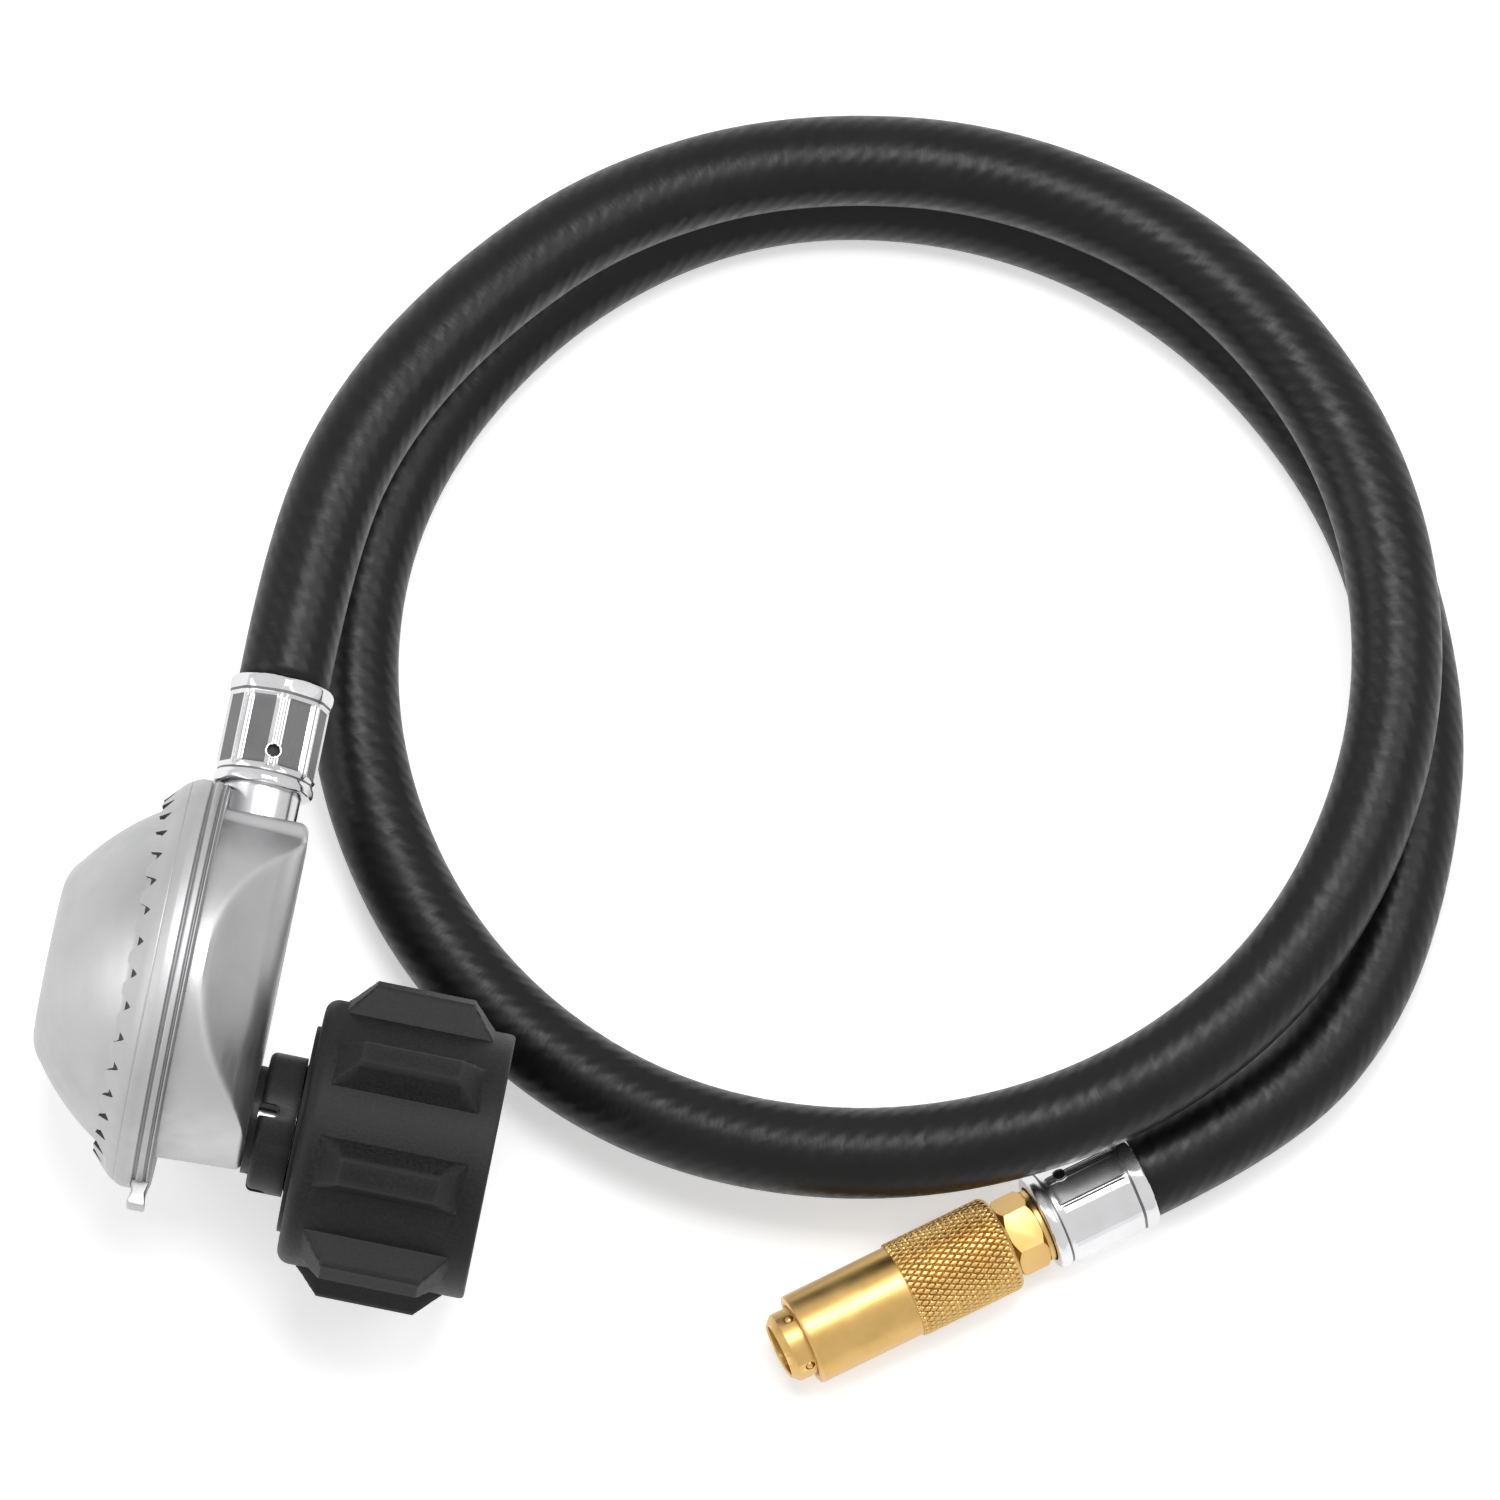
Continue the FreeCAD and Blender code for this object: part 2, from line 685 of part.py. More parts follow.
def make_body():
    """Cast bowl: a round bowl whose two flanks slope back to a bar that joins outlet and inlet."""
    cavity = d.cavity_radius
    cavity_neck = cavity - d.cavity_shoulder_width
    floor = body_back - d.back_wall
    bowl_end = d.bowl_radius - d.bowl_draft
    flange_edge = clamp_radius - d.slip
    body = turned("regulator_body", [
        (flange_front, flange_edge),
        (flange_back, flange_edge),
        (flange_back, d.bowl_radius),
        (body_back - d.bowl_edge, bowl_end),
        (body_back, bowl_end - d.bowl_edge),
        (body_back, 0),
        (floor, 0),
        (floor, d.cavity_floor_radius),
        (flange_back + d.cavity_shoulder_depth, cavity_neck),
        (flange_back + d.cavity_step, cavity),
        (flange_front, cavity),
    ])
    boss = new_sketch(body, "XY_Plane")
    outline(boss, [
        (rim_back, cavity),
        (rim_back, boss_height),
        (body_back - d.boss_round, boss_height, QUARTER_BOW),
        (body_back, boss_height - d.boss_round),
        (body_back, cavity_neck),
    ])
    add_feature(body, "Pad", boss, Length=2 * d.boss_half_width, Midplane=True)
    flank = new_sketch(body, "XZ_Plane")
    slope_start = flange_back + d.flank_setback
    outline(flank, [
        (slope_start, d.bowl_radius + OVERCUT),
        (slope_start, d.bowl_radius),
        (body_back - d.flank_setback, d.flank_half_width, d.flank_bow),
        (body_back + d.slip, d.bar_half_width),
        (body_back + OVERCUT, d.bar_half_width),
        (body_back + OVERCUT, d.bowl_radius + OVERCUT),
    ])
    upper = add_feature(body, "Pocket", flank, Length=4 * d.bowl_radius, Midplane=True)
    mirrored(body, upper, "XY_Plane")
    slot = new_sketch(body, "YZ_Plane", flange_front)
    low = -(d.inlet_offset + d.nipple_root_radius + d.air)
    rectangle(slot, low, -d.pocket_half_width, 0, d.pocket_half_width)
    add_feature(body, "Pocket", slot, Length=floor - flange_front, Reversed=True)
    inlet = new_sketch(body, "YZ_Plane", floor - OVERCUT)
    circle(inlet, -d.inlet_offset, 0, d.nipple_root_radius)
    add_feature(body, "Pocket", inlet, Length=d.back_wall + 2 * OVERCUT, Reversed=True)
    bore_start = cavity - d.outlet_bore_depth
    outlet = new_sketch(body, "XY_Plane")
    outline(outlet, [
        (0, bore_start),
        (d.outlet_thread_radius, bore_start),
        (d.outlet_thread_radius, boss_height),
        (d.outlet_radius + d.slip, boss_height),
        (d.outlet_radius + d.slip, d.rim_radius),
        (0, d.rim_radius),
    ])
    add_feature(body, "Groove", outlet, ReferenceAxis=(outlet, ["V_Axis"]), Angle=360.0)
    pivot = -d.long_arm
    reach = d.post_half_length
    inner = d.lever_half_width + d.air
    outer = inner + d.post_thickness
    post = new_sketch(body, "YZ_Plane", floor)
    rectangle(post, pivot - reach, inner, pivot + reach, outer)
    first = add_feature(body, "Pad", post, Length=floor - lever_plane + reach, Reversed=True)
    mirrored(body, first, "XY_Plane")
    hole = new_sketch(body, "XY_Plane")
    circle(hole, lever_plane, pivot, d.pin_radius)
    add_feature(body, "Pocket", hole, Length=2 * (outer + OVERCUT), Midplane=True)
    on_regulator(body)


def make_diaphragm():
    """Rubber disc with a clamped bead and one rolled convolution."""
    ring = d.convolution_radius
    outer = d.convolution_half_width
    inner = outer - d.convolution_wall
    edge = clamp_radius - d.slip
    body = turned("diaphragm", [
        (diaphragm_front, d.stem_radius),
        (flange_front, d.stem_radius),
        (flange_front, ring - outer, -HALF_ROUND_BOW),
        (flange_front, ring + outer),
        (flange_front, edge),
        (diaphragm_front, edge),
        (diaphragm_front, ring + inner, HALF_ROUND_BOW),
        (diaphragm_front, ring - inner),
    ])
    on_regulator(body)


def make_diaphragm_plate():
    """Stamped dish that spreads the spring's load over the diaphragm."""
    thickness = d.plate_thickness
    front = diaphragm_front - thickness
    body = turned("diaphragm_plate", [
        (front, d.stem_radius),
        (diaphragm_front, d.stem_radius),
        (diaphragm_front, d.plate_radius),
        (front - d.plate_lip, d.plate_radius),
        (front - d.plate_lip, d.plate_radius - thickness),
        (front, d.plate_radius - thickness),
    ])
    on_regulator(body)


def make_diaphragm_stem():
    """Riveted post: head on the plate, disc under the diaphragm, and a neck with two flanges for the fork."""
    head = diaphragm_front - d.plate_thickness
    flange = d.stem_flange
    half_neck = d.lever_thickness / 2 + d.fork_play
    body = turned("diaphragm_stem", [
        (head - flange, 0),
        (head - flange, d.stem_head_radius),
        (head, d.stem_head_radius),
        (head, d.stem_radius),
        (flange_front, d.stem_radius),
        (flange_front, d.stem_washer_radius),
        (flange_front + flange, d.stem_washer_radius),
        (flange_front + flange, d.stem_disc_radius),
        (lever_plane - half_neck, d.stem_disc_radius),
        (lever_plane - half_neck, d.stem_radius),
        (lever_plane + half_neck, d.stem_radius),
        (lever_plane + half_neck, d.stem_disc_radius),
        (lever_plane + half_neck + flange, d.stem_disc_radius),
        (lever_plane + half_neck + flange, 0),
    ])
    on_regulator(body)


def make_main_spring():
    cover_inside = cover_front + d.cover_wall
    length = diaphragm_front - d.plate_thickness - cover_inside
    coil = add_spring("main_spring", d.main_spring_radius, d.main_spring_wire, length, d.main_spring_turns)
    on_regulator(coil, cover_inside, 0, 0, Rotation(Vector(0, 1, 0), 90))


def make_lever():
    """Rocking lever: a fork round the stem's neck, an eye on the pin and a pad for the seat."""
    body = new_body("lever")
    half = d.lever_half_width
    tip = d.stem_radius
    fork = d.stem_radius + d.air
    heel = -(d.inlet_offset + d.seat_radius)
    plan = new_sketch(body, "YZ_Plane", lever_plane)
    outline(plan, [
        (heel, -half),
        (tip, -half),
        (tip, -fork),
        (-fork, -fork),
        (-fork, fork),
        (tip, fork),
        (tip, half),
        (heel, half),
    ])
    add_feature(body, "Pad", plan, Length=d.lever_thickness, Midplane=True)
    eye = new_sketch(body, "XY_Plane")
    circle(eye, lever_plane, -d.long_arm, d.pin_radius + d.eye_wall)
    add_feature(body, "Pad", eye, Length=2 * half, Midplane=True)
    hole = new_sketch(body, "XY_Plane")
    circle(hole, lever_plane, -d.long_arm, d.pin_radius + d.slip)
    add_feature(body, "Pocket", hole, Length=2 * (half + OVERCUT), Midplane=True)
    on_regulator(body)


def make_lever_pin():
    pin_rod = keep(doc.addObject("Part::Cylinder", "lever_pin"), "lever_pin")
    half = d.lever_half_width + d.air + d.post_thickness
    pin_rod.setExpression("Radius", d.pin_radius.formula)
    pin_rod.setExpression("Height", (2 * half).formula)
    on_regulator(pin_rod, lever_plane, -d.long_arm, -half)


def make_seat_disc():
    disc = keep(doc.addObject("Part::Cylinder", "seat_disc"), "seat_disc")
    disc.setExpression("Radius", d.seat_radius.formula)
    disc.setExpression("Height", d.seat_thickness.formula)
    on_inlet(disc, seat_front, Rotation(Vector(0, 1, 0), 90))


def make_orifice():
    hole = d.orifice_hole
    end = nipple_root + d.orifice_length
    body = turned("orifice", [
        (orifice_front, hole),
        (orifice_front, hole + d.orifice_lip),
        (nipple_root, d.orifice_radius + d.orifice_flange),
        (nipple_root, d.orifice_radius),
        (end, d.orifice_radius),
        (end, hole),
    ])
    on_inlet(body)


def make_inlet_nipple():
    """Brass nipple: root in the body, shank through bushing and nut, collar behind the nut, and nose."""
    nose = d.nipple_nose_radius
    waist = nipple_root + d.orifice_length
    groove_back = seal_middle - d.seal_groove_length / 2
    groove_front = seal_middle + d.seal_groove_length / 2
    body = turned("inlet_nipple", [
        (nipple_root, d.orifice_radius),
        (nipple_root, d.nipple_root_radius),
        (body_back, d.nipple_root_radius),
        (body_back, d.nipple_shank_radius),
        (collar_front, d.nipple_shank_radius),
        (collar_front, d.nipple_collar_radius),
        (collar_back, d.nipple_collar_radius),
        (collar_back + d.collar_bevel, nose),
        (groove_back, nose),
        (groove_back, seal_floor),
        (groove_front, seal_floor),
        (groove_front, nose),
        (nipple_tip - d.tip_bevel, nose),
        (nipple_tip, nose - d.tip_bevel),
        (nipple_tip, d.nipple_bore),
        (nipple_bore_floor, d.nipple_bore),
        (nipple_bore_floor - d.bore_cone, d.nipple_waist),
        (waist, d.nipple_waist),
        (waist, d.orifice_radius),
    ])
    on_inlet(body)


def make_nipple_seal():
    half = d.seal_groove_length / 2 - d.slip
    shoulder_radius = d.nipple_nose_radius - d.air
    body = turned("nipple_seal", [
        (seal_middle - half, seal_floor),
        (seal_middle + half, seal_floor),
        (seal_middle + half, shoulder_radius, -d.seal_bow),
        (seal_middle - half, shoulder_radius),
    ])
    on_inlet(body)


def make_flow_cage():
    """Pressed-in cage with three windows that guides the plunger's stem."""
    bore = d.plunger_stem_radius + d.slip
    inner = d.nipple_bore - d.cage_wall
    floor = cage_back + d.cage_floor
    front = nipple_tip - d.cage_recess
    body = turned("flow_cage", [
        (cage_back, bore),
        (cage_back, d.nipple_bore),
        (front, d.nipple_bore),
        (front, inner),
        (floor, inner),
        (floor, bore),
    ])
    window = new_sketch(body, "YZ_Plane", cage_back - OVERCUT)
    circle(window, (bore + inner) / 2, 0, d.window_radius)
    first = add_feature(body, "Pocket", window, Length=d.cage_floor + 2 * OVERCUT, Reversed=True)
    polar(body, first, d.window_count)
    on_inlet(body)


def make_flow_plunger():
    """Plunger that shuts the nipple when gas rushes through it."""
    tail = plunger_ledge - d.plunger_head_length
    stem_end = cage_back + d.cage_floor + d.cage_recess
    body = turned("flow_plunger", [
        (tail, 0),
        (tail, d.plunger_tail_radius),
        (plunger_ledge, d.plunger_head_radius),
        (plunger_head, d.plunger_head_radius),
        (plunger_head, d.plunger_stem_radius),
        (stem_end, d.plunger_stem_radius),
        (stem_end, 0),
    ])
    on_inlet(body)


def make_flow_spring():
    length = plunger_ledge - nipple_bore_floor
    coil = add_spring("flow_spring", d.flow_spring_radius, d.flow_spring_wire, length, d.flow_spring_turns)
    on_inlet(coil, nipple_bore_floor, Rotation(Vector(0, 1, 0), 90))


def make_inlet_strainer():
    """Fine mesh disc across the nipple's waist, before the orifice."""
    back = nipple_root + d.orifice_length
    body = turned("inlet_strainer", [
        (back, 0),
        (back, d.nipple_waist),
        (back + d.strainer_thickness, d.nipple_waist),
        (back + d.strainer_thickness, 0),
    ])
    on_inlet(body)


def make_bushing():
    """Thermal bushing behind the nut: narrow neck on the body, then a collar slotted down to the shank."""
    neck_end = body_back + d.bushing_neck_length
    edge = d.bushing_round
    body = turned("thermal_bushing", [
        (body_back, d.nipple_shank_radius),
        (body_back, d.bushing_neck_radius),
        (neck_end, d.bushing_neck_radius),
        (neck_end, d.bushing_radius - edge, QUARTER_BOW),
        (neck_end + edge, d.bushing_radius),
        (bushing_front, d.bushing_radius),
        (bushing_front, d.nipple_shank_radius),
    ])
    half = d.bushing_slot_width / 2
    start = neck_end - OVERCUT
    round_start = neck_end + d.bushing_slot_depth - half
    slot = new_sketch(body, "XY_Plane")
    outline(slot, [
        (start, -half),
        (round_start, -half, -HALF_ROUND_BOW),
        (round_start, half),
        (start, half),
    ])
    first = add_feature(body, "Pocket", slot, Length=d.bushing_radius + OVERCUT, Reversed=True)
    polar(body, first, d.bushing_slot_count)
    on_inlet(body)


def make_nut():
    """Moulded nut: thick ring with eight bevelled grip pads and a deep threaded bore."""
    corner = d.nut_corner
    edge = d.nut_edge
    shank = d.nipple_shank_radius + d.air
    ring_end = nut_back + d.nut_ring_length
    body = turned("cylinder_nut", [
        (nut_back, shank),
        (nut_back, d.nut_ring_radius),
        (ring_end, d.nut_ring_radius),
        (ring_end, d.nut_radius - corner, QUARTER_BOW),
        (ring_end + corner, d.nut_radius),
        (nut_front - edge, d.nut_radius),
        (nut_front, d.nut_radius - edge),
        (nut_front, d.nut_bore + d.nut_lead),
        (nut_front - d.nut_lead, d.nut_bore),
        (nut_floor, d.nut_bore),
        (nut_floor, shank),
    ])
    middle = (ring_end + nut_front) / 2
    sunk = d.pad_height + d.pad_sink
    root_length = d.pad_top_length + (d.pad_length - d.pad_top_length) * sunk / d.pad_height
    root_width = d.pad_top_width + (d.pad_width - d.pad_top_width) * sunk / d.pad_height
    root = new_sketch(body, "XY_Plane", d.nut_radius - d.pad_sink)
    rectangle(root, middle - root_length / 2, -root_width / 2, middle + root_length / 2, root_width / 2)
    top = new_sketch(body, "XY_Plane", pad_top_radius)
    rectangle(top, middle - d.pad_top_length / 2, -d.pad_top_width / 2,
              middle + d.pad_top_length / 2, d.pad_top_width / 2)
    pad = add_feature(body, "AdditiveLoft", root, Sections=[top])
    polar(body, pad, d.pad_count)
    on_inlet(body, 0, Rotation(Vector(1, 0, 0), PAD_PHASE))


def make_outlet_nipple():
    """Plated outlet: thread in the body, bright round shank, and a barbed tail inside the hose."""
    thread_start = d.cavity_radius - d.outlet_thread_depth
    tail_start = ferrule_start + d.ferrule_floor
    tail_end = ferrule_end - d.barb_setback
    body = turned("outlet_nipple", [
        (thread_start, d.barb_bore),
        (thread_start, d.outlet_thread_radius),
        (boss_height, d.outlet_thread_radius),
        (boss_height, d.outlet_radius),
        (tail_start, d.outlet_radius),
        (tail_start, barb_root),
        *barbs(tail_start, tail_end),
        (tail_end, d.barb_bore),
    ])
    on_regulator(body, 0, 0, 0, Rotation(Vector(0, 0, 1), 90))


def barbs(start, end):
    """Saw-tooth outline of a hose barb whose crests touch the hose's bore."""
    corners = []
    pitch = (end - start) / BARBS
    for index in range(BARBS):
        crest = start + pitch * (index + BARB_SLOPE)
        corners.append((crest, barb_root))
        corners.append((crest, d.hose_bore))
        corners.append((start + pitch * (index + 1), barb_root))
    return corners


def make_ferrule(label):
    """Crimped ferrule: eight-sided rolled lips, and between them eight flats with narrow ridges."""
    lip = d.ferrule_lip
    bend = d.ferrule_bend
    flare = d.ferrule_flare
    length = d.ferrule_length
    mouth = d.hose_radius + d.slip
    start_lip = d.ferrule_lip_radius
    end_lip = d.ferrule_mouth_radius
    body = turned(label, [
        (0, mouth),
        (0, end_lip - bend, QUARTER_BOW),
        (bend, end_lip),
        (lip - flare, end_lip),
        (lip, d.ferrule_radius),
        (length - lip, d.ferrule_radius),
        (length - lip + flare, start_lip),
        (length - bend, start_lip, QUARTER_BOW),
        (length, start_lip - bend),
        (length, d.outlet_radius),
        (length - d.ferrule_floor, d.outlet_radius),
        (length - d.ferrule_floor, d.hose_crimped_radius),
        (2 * flare, d.hose_crimped_radius),
        (flare, mouth),
    ])
    side = new_sketch(body, "XY_Plane", d.ferrule_side)
    rectangle(side, -OVERCUT, -d.ferrule_radius, length + OVERCUT, d.ferrule_radius)
    first = add_feature(body, "Pocket", side, Length=end_lip, Reversed=True)
    polar(body, first, d.ferrule_flats)
    half = d.ferrule_flat_width / 2
    flat = new_sketch(body, "XY_Plane", d.ferrule_flat)
    rectangle(flat, lip + d.air, -half, length - lip - d.air, half)
    first = add_feature(body, "Pocket", flat, Length=end_lip, Reversed=True)
    polar(body, first, d.ferrule_flats)
    peep = new_sketch(body, "XY_Plane", 0, 180 / SIZES["ferrule_flats"])
    circle(peep, length - d.peep_setback, 0, d.peep_radius)
    add_feature(body, "Pocket", peep, Length=end_lip, Reversed=True)
    return body


def make_ferrules():
    near = make_ferrule("regulator_ferrule")
    on_regulator(near, 0, ferrule_end, 0,
                 Rotation(Vector(0, 0, 1), -90) * Rotation(Vector(1, 0, 0), NEAR_FERRULE_ROLL))
    far = make_ferrule("coupler_ferrule")
    on_coupler(far, 0, FAR_FERRULE_ROLL)


def hose_path():
    """Straight runs joined by tangent arcs, each arc as large as its two runs allow."""
    outlet = (frame_x.value, (frame_y + ferrule_end).value, axis_height.value)
    points = [Vector(*point) for point in [outlet, *HOSE_ROUTE, COUPLER_PLACE]]
    edges = []
    start = points[0]
    radii = []
    for before, corner, after in zip(points, points[1:], points[2:]):
        arriving = (corner - before).normalize()
        leaving = (after - corner).normalize()
        half_turn = arriving.getAngle(leaving) / 2
        reach = ARC_SHARE * min(before.distanceToPoint(corner), corner.distanceToPoint(after))
        radius = reach / math.tan(half_turn)
        radii.append(radius)
        enter = corner - arriving * reach
        leave = corner + leaving * reach
        inward = (leaving - arriving).normalize()
        middle = corner + inward * (radius / math.cos(half_turn) - radius)
        edges.append(Part.LineSegment(start, enter).toShape())
        edges.append(Part.Arc(enter, middle, leave).toShape())
        start = leave
    edges.append(Part.LineSegment(start, points[-1]).toShape())
    print("hose radii", " ".join(f"{radius:.0f}" for radius in radii))
    return Part.Wire(edges)


def make_hose():
    """Rubber hose: full size along its route, squeezed ends with a bore inside each ferrule."""
    path = hose_path()
    radius = d.hose_radius.value
    start = path.Edges[0].Vertexes[0].Point
    end = path.Edges[-1].Vertexes[-1].Point
    profile = Part.Wire([Part.makeCircle(radius, start, Vector(0, 1, 0))])
    tube = path.makePipeShell([profile], True, True)
    expected = math.pi * radius ** 2 * path.Length
    print(f"hose length {path.Length:.1f} volume ratio {tube.Volume / expected:.4f}")
    depth = (d.ferrule_length - d.ferrule_floor).value
    shorter = (d.ferrule_length - d.stem_collar).value
    turn = math.radians(COUPLER_ANGLE)
    outward = Vector(math.cos(turn), math.sin(turn), 0)
    for point, way, length in ((start, Vector(0, -1, 0), depth), (end, outward, shorter)):
        grip = Part.makeCylinder(d.hose_crimped_radius.value, length + OVERCUT, point - way * OVERCUT, way)
        bore = Part.makeCylinder(d.hose_bore.value, length, point, way)
        tube = tube.fuse(grip).cut(bore)
    hose = keep(doc.addObject("Part::Feature", "hose"), "hose")
    hose.Shape = tube


def make_coupler_stem():
    """Brass stem: barbed tail in the hose, hexagon, and a spigot that screws into the socket."""
    tail_start = d.barb_setback
    tail_end = hex_start - d.stem_collar
    half_flats = d.hex_across_flats / 2
    collar = d.outlet_radius - d.air
    edge = half_flats + d.hex_face
    bevel = d.hex_bevel
    corner = half_flats + d.hex_corner
    barb_outline = [(tail_start + (tail_end - x), radius) for x, radius in barbs(tail_start, tail_end)]
    body = turned("coupler_stem", [
        (tail_start, d.barb_bore),
        *reversed(barb_outline),
        (tail_end, barb_root),
        (tail_end, collar),
        (hex_start, collar),
        (hex_start, edge),
        (hex_start + bevel, corner),
        (hex_end - bevel, corner),
        (hex_end, edge),
        (hex_end, d.spigot_radius),
        (spigot_end, d.spigot_radius),
        (spigot_end, d.barb_bore),
    ])
    side = new_sketch(body, "XY_Plane", half_flats)
    rectangle(side, hex_start, -half_flats, hex_end, half_flats)
    first = add_feature(body, "Pocket", side, Length=d.hex_corner + OVERCUT, Reversed=True)
    polar(body, first, 6)
    on_coupler(body, 0, HEX_ROLL)


# Inside the socket: shoulder for the sleeve's spring, valve chamber, valve seat and plug bore
socket_guide = d.sleeve_bore + d.sleeve_guide
spring_floor = sleeve_start + d.spring_seat
sleeve_step = spring_floor + d.spring_room
spring_groove = d.sleeve_spring_wire + 2 * d.air
valve_seat = sleeve_end - d.valve_setback
poppet_front = valve_seat - d.poppet_seal_thickness
chamber_radius = d.poppet_radius + d.air
plug_seal_start = valve_seat + d.plug_seal_place
plug_seal_radius = d.socket_bore + d.plug_seal_depth
ball_place = sleeve_end + d.ball_radius + d.ball_setback
ball_orbit = d.socket_bore + d.ball_radius + d.ball_reach


def make_coupler_socket():
    """Socket that the sleeve slides on: valve chamber behind, plug bore with ball windows in the nose."""
    bore = d.socket_bore
    neck = socket_guide - d.socket_neck
    seat_front = valve_seat + d.valve_wall
    groove_end = plug_seal_start + d.plug_seal_width
    body = turned("coupler_socket", [
        (hex_end, d.spigot_radius),
        (hex_end, neck),
        (sleeve_start + d.socket_shoulder, neck),
        (sleeve_start + d.socket_shoulder, socket_guide),
        (spring_floor, socket_guide),
        (spring_floor, socket_guide - spring_groove),
        (sleeve_step + d.nose_shoulder, socket_guide - spring_groove),
        (sleeve_step + 2 * d.nose_shoulder, d.nose_radius),
        (nose_end - d.nose_bevel, d.nose_radius),
        (nose_end, d.nose_radius - d.nose_bevel),
        (nose_end, bore + d.air),
        (nose_end - d.air, bore),
        (groove_end, bore),
        (groove_end, plug_seal_radius),
        (plug_seal_start, plug_seal_radius),
        (plug_seal_start, bore),
        (seat_front, bore),
        (seat_front, d.valve_port_radius),
        (valve_seat, d.valve_port_radius),
        (valve_seat, chamber_radius),
        (spigot_end, chamber_radius),
        (spigot_end, d.spigot_radius),
    ])
    window = new_sketch(body, "XY_Plane")
    circle(window, ball_place, 0, d.ball_radius + d.slip)
    first = add_feature(body, "Pocket", window, Length=d.sleeve_radius, Reversed=True)
    polar(body, first, d.ball_count)
    on_coupler(body, 0, BALL_ROLL)


def make_coupler_sleeve():
    """Sliding sleeve, held back: knurled grip behind, plain skirt in front."""
    knurl_end = sleeve_start + d.knurl_length
    guide = socket_guide + d.slip
    step = d.knurl_radius - d.sleeve_radius
    edge = d.sleeve_edge
    body = turned("coupler_sleeve", [
        (sleeve_start, guide),
        (sleeve_start, d.knurl_radius - d.knurl_round, QUARTER_BOW),
        (sleeve_start + d.knurl_round, d.knurl_radius),
        (knurl_end - step, d.knurl_radius),
        (knurl_end, d.sleeve_radius),
        (sleeve_end - edge, d.sleeve_radius),
        (sleeve_end, d.sleeve_radius - edge),
        (sleeve_end, d.sleeve_bore + d.sleeve_lead),
        (sleeve_end - d.sleeve_lead, d.sleeve_bore),
        (sleeve_step, d.sleeve_bore),
        (sleeve_step, guide),
    ])
    on_coupler(body)


def make_sleeve_spring():
    wire = d.sleeve_spring_wire
    radius = socket_guide - wire / 2 - d.air / 2
    coil = add_spring("sleeve_spring", radius, wire, sleeve_step - spring_floor, d.sleeve_spring_turns)
    lay_on_coupler(coil, spring_floor)


def lay_on_coupler(thing, distance):
    """Turns a thing's own z axis along the coupler."""
    on_coupler(thing, distance)
    base = thing.Placement.Base
    lying = Rotation(Vector(0, 1, 0), 90)
    thing.Placement = Placement(base, Rotation(Vector(0, 0, 1), COUPLER_ANGLE) * lying)


def make_lock_balls():
    """Steel balls in the nose's windows, one node each, because each moves by itself."""
    for index in range(SIZES["ball_count"]):
        ball = keep(doc.addObject("Part::Sphere", "lock_ball"), f"lock_ball_{index + 1}")
        ball.setExpression("Radius", d.ball_radius.formula)
        around = math.radians(BALL_ROLL + 360 * index / SIZES["ball_count"])
        x, y, z = COUPLER_PLACE
        turn = math.radians(COUPLER_ANGLE)
        side = -ball_orbit * math.sin(around)
        place(ball, x + ball_place * math.cos(turn) - side * math.sin(turn),
              y + ball_place * math.sin(turn) + side * math.cos(turn), z + ball_orbit * math.cos(around))


def make_valve_poppet():
    """Valve that the plug pushes open: head behind the seat and a nose in the plug's bore."""
    ledge = poppet_front - d.poppet_head
    back = ledge - d.poppet_tail
    tail_radius = d.poppet_radius - d.poppet_spring_wire - d.poppet_step
    nose = valve_seat + d.poppet_travel + d.poppet_nose_reach
    body = turned("valve_poppet", [
        (back, 0),
        (back, tail_radius),
        (ledge, tail_radius),
        (ledge, d.poppet_radius),
        (poppet_front, d.poppet_radius),
        (poppet_front, d.poppet_nose_radius),
        (nose, d.poppet_nose_radius),
        (nose, 0),
    ])
    on_coupler(body)


def make_poppet_seal():
    edge = d.poppet_radius - d.air
    body = turned("poppet_seal", [
        (poppet_front, d.poppet_nose_radius),
        (valve_seat, d.poppet_nose_radius),
        (valve_seat, edge, -QUARTER_BOW),
        (poppet_front, d.poppet_radius),
    ])
    on_coupler(body)


def make_poppet_spring():
    wire = d.poppet_spring_wire
    length = poppet_front - d.poppet_head - spigot_end
    coil = add_spring("poppet_spring", d.poppet_radius - wire / 2, wire, length, d.poppet_spring_turns)
    lay_on_coupler(coil, spigot_end)


def make_plug_seal():
    inner = d.socket_bore + d.air
    end = plug_seal_start + d.plug_seal_width
    body = turned("plug_seal", [
        (plug_seal_start, plug_seal_radius),
        (plug_seal_start, inner, -d.plug_seal_bow),
        (end, inner),
        (end, plug_seal_radius),
    ])
    on_coupler(body)


make_cover()
make_vent_screen()
make_crimp_ring()
make_body()
make_diaphragm()
make_diaphragm_plate()
make_diaphragm_stem()
make_main_spring()
make_lever()
make_lever_pin()
make_seat_disc()
make_orifice()
make_inlet_nipple()
make_nipple_seal()
make_flow_cage()
make_flow_plunger()
make_flow_spring()
make_inlet_strainer()
make_bushing()
make_nut()
make_outlet_nipple()
make_ferrules()
make_hose()
make_coupler_stem()
make_coupler_socket()
make_coupler_sleeve()
make_sleeve_spring()
make_lock_balls()
make_valve_poppet()
make_poppet_seal()
make_poppet_spring()
make_plug_seal()

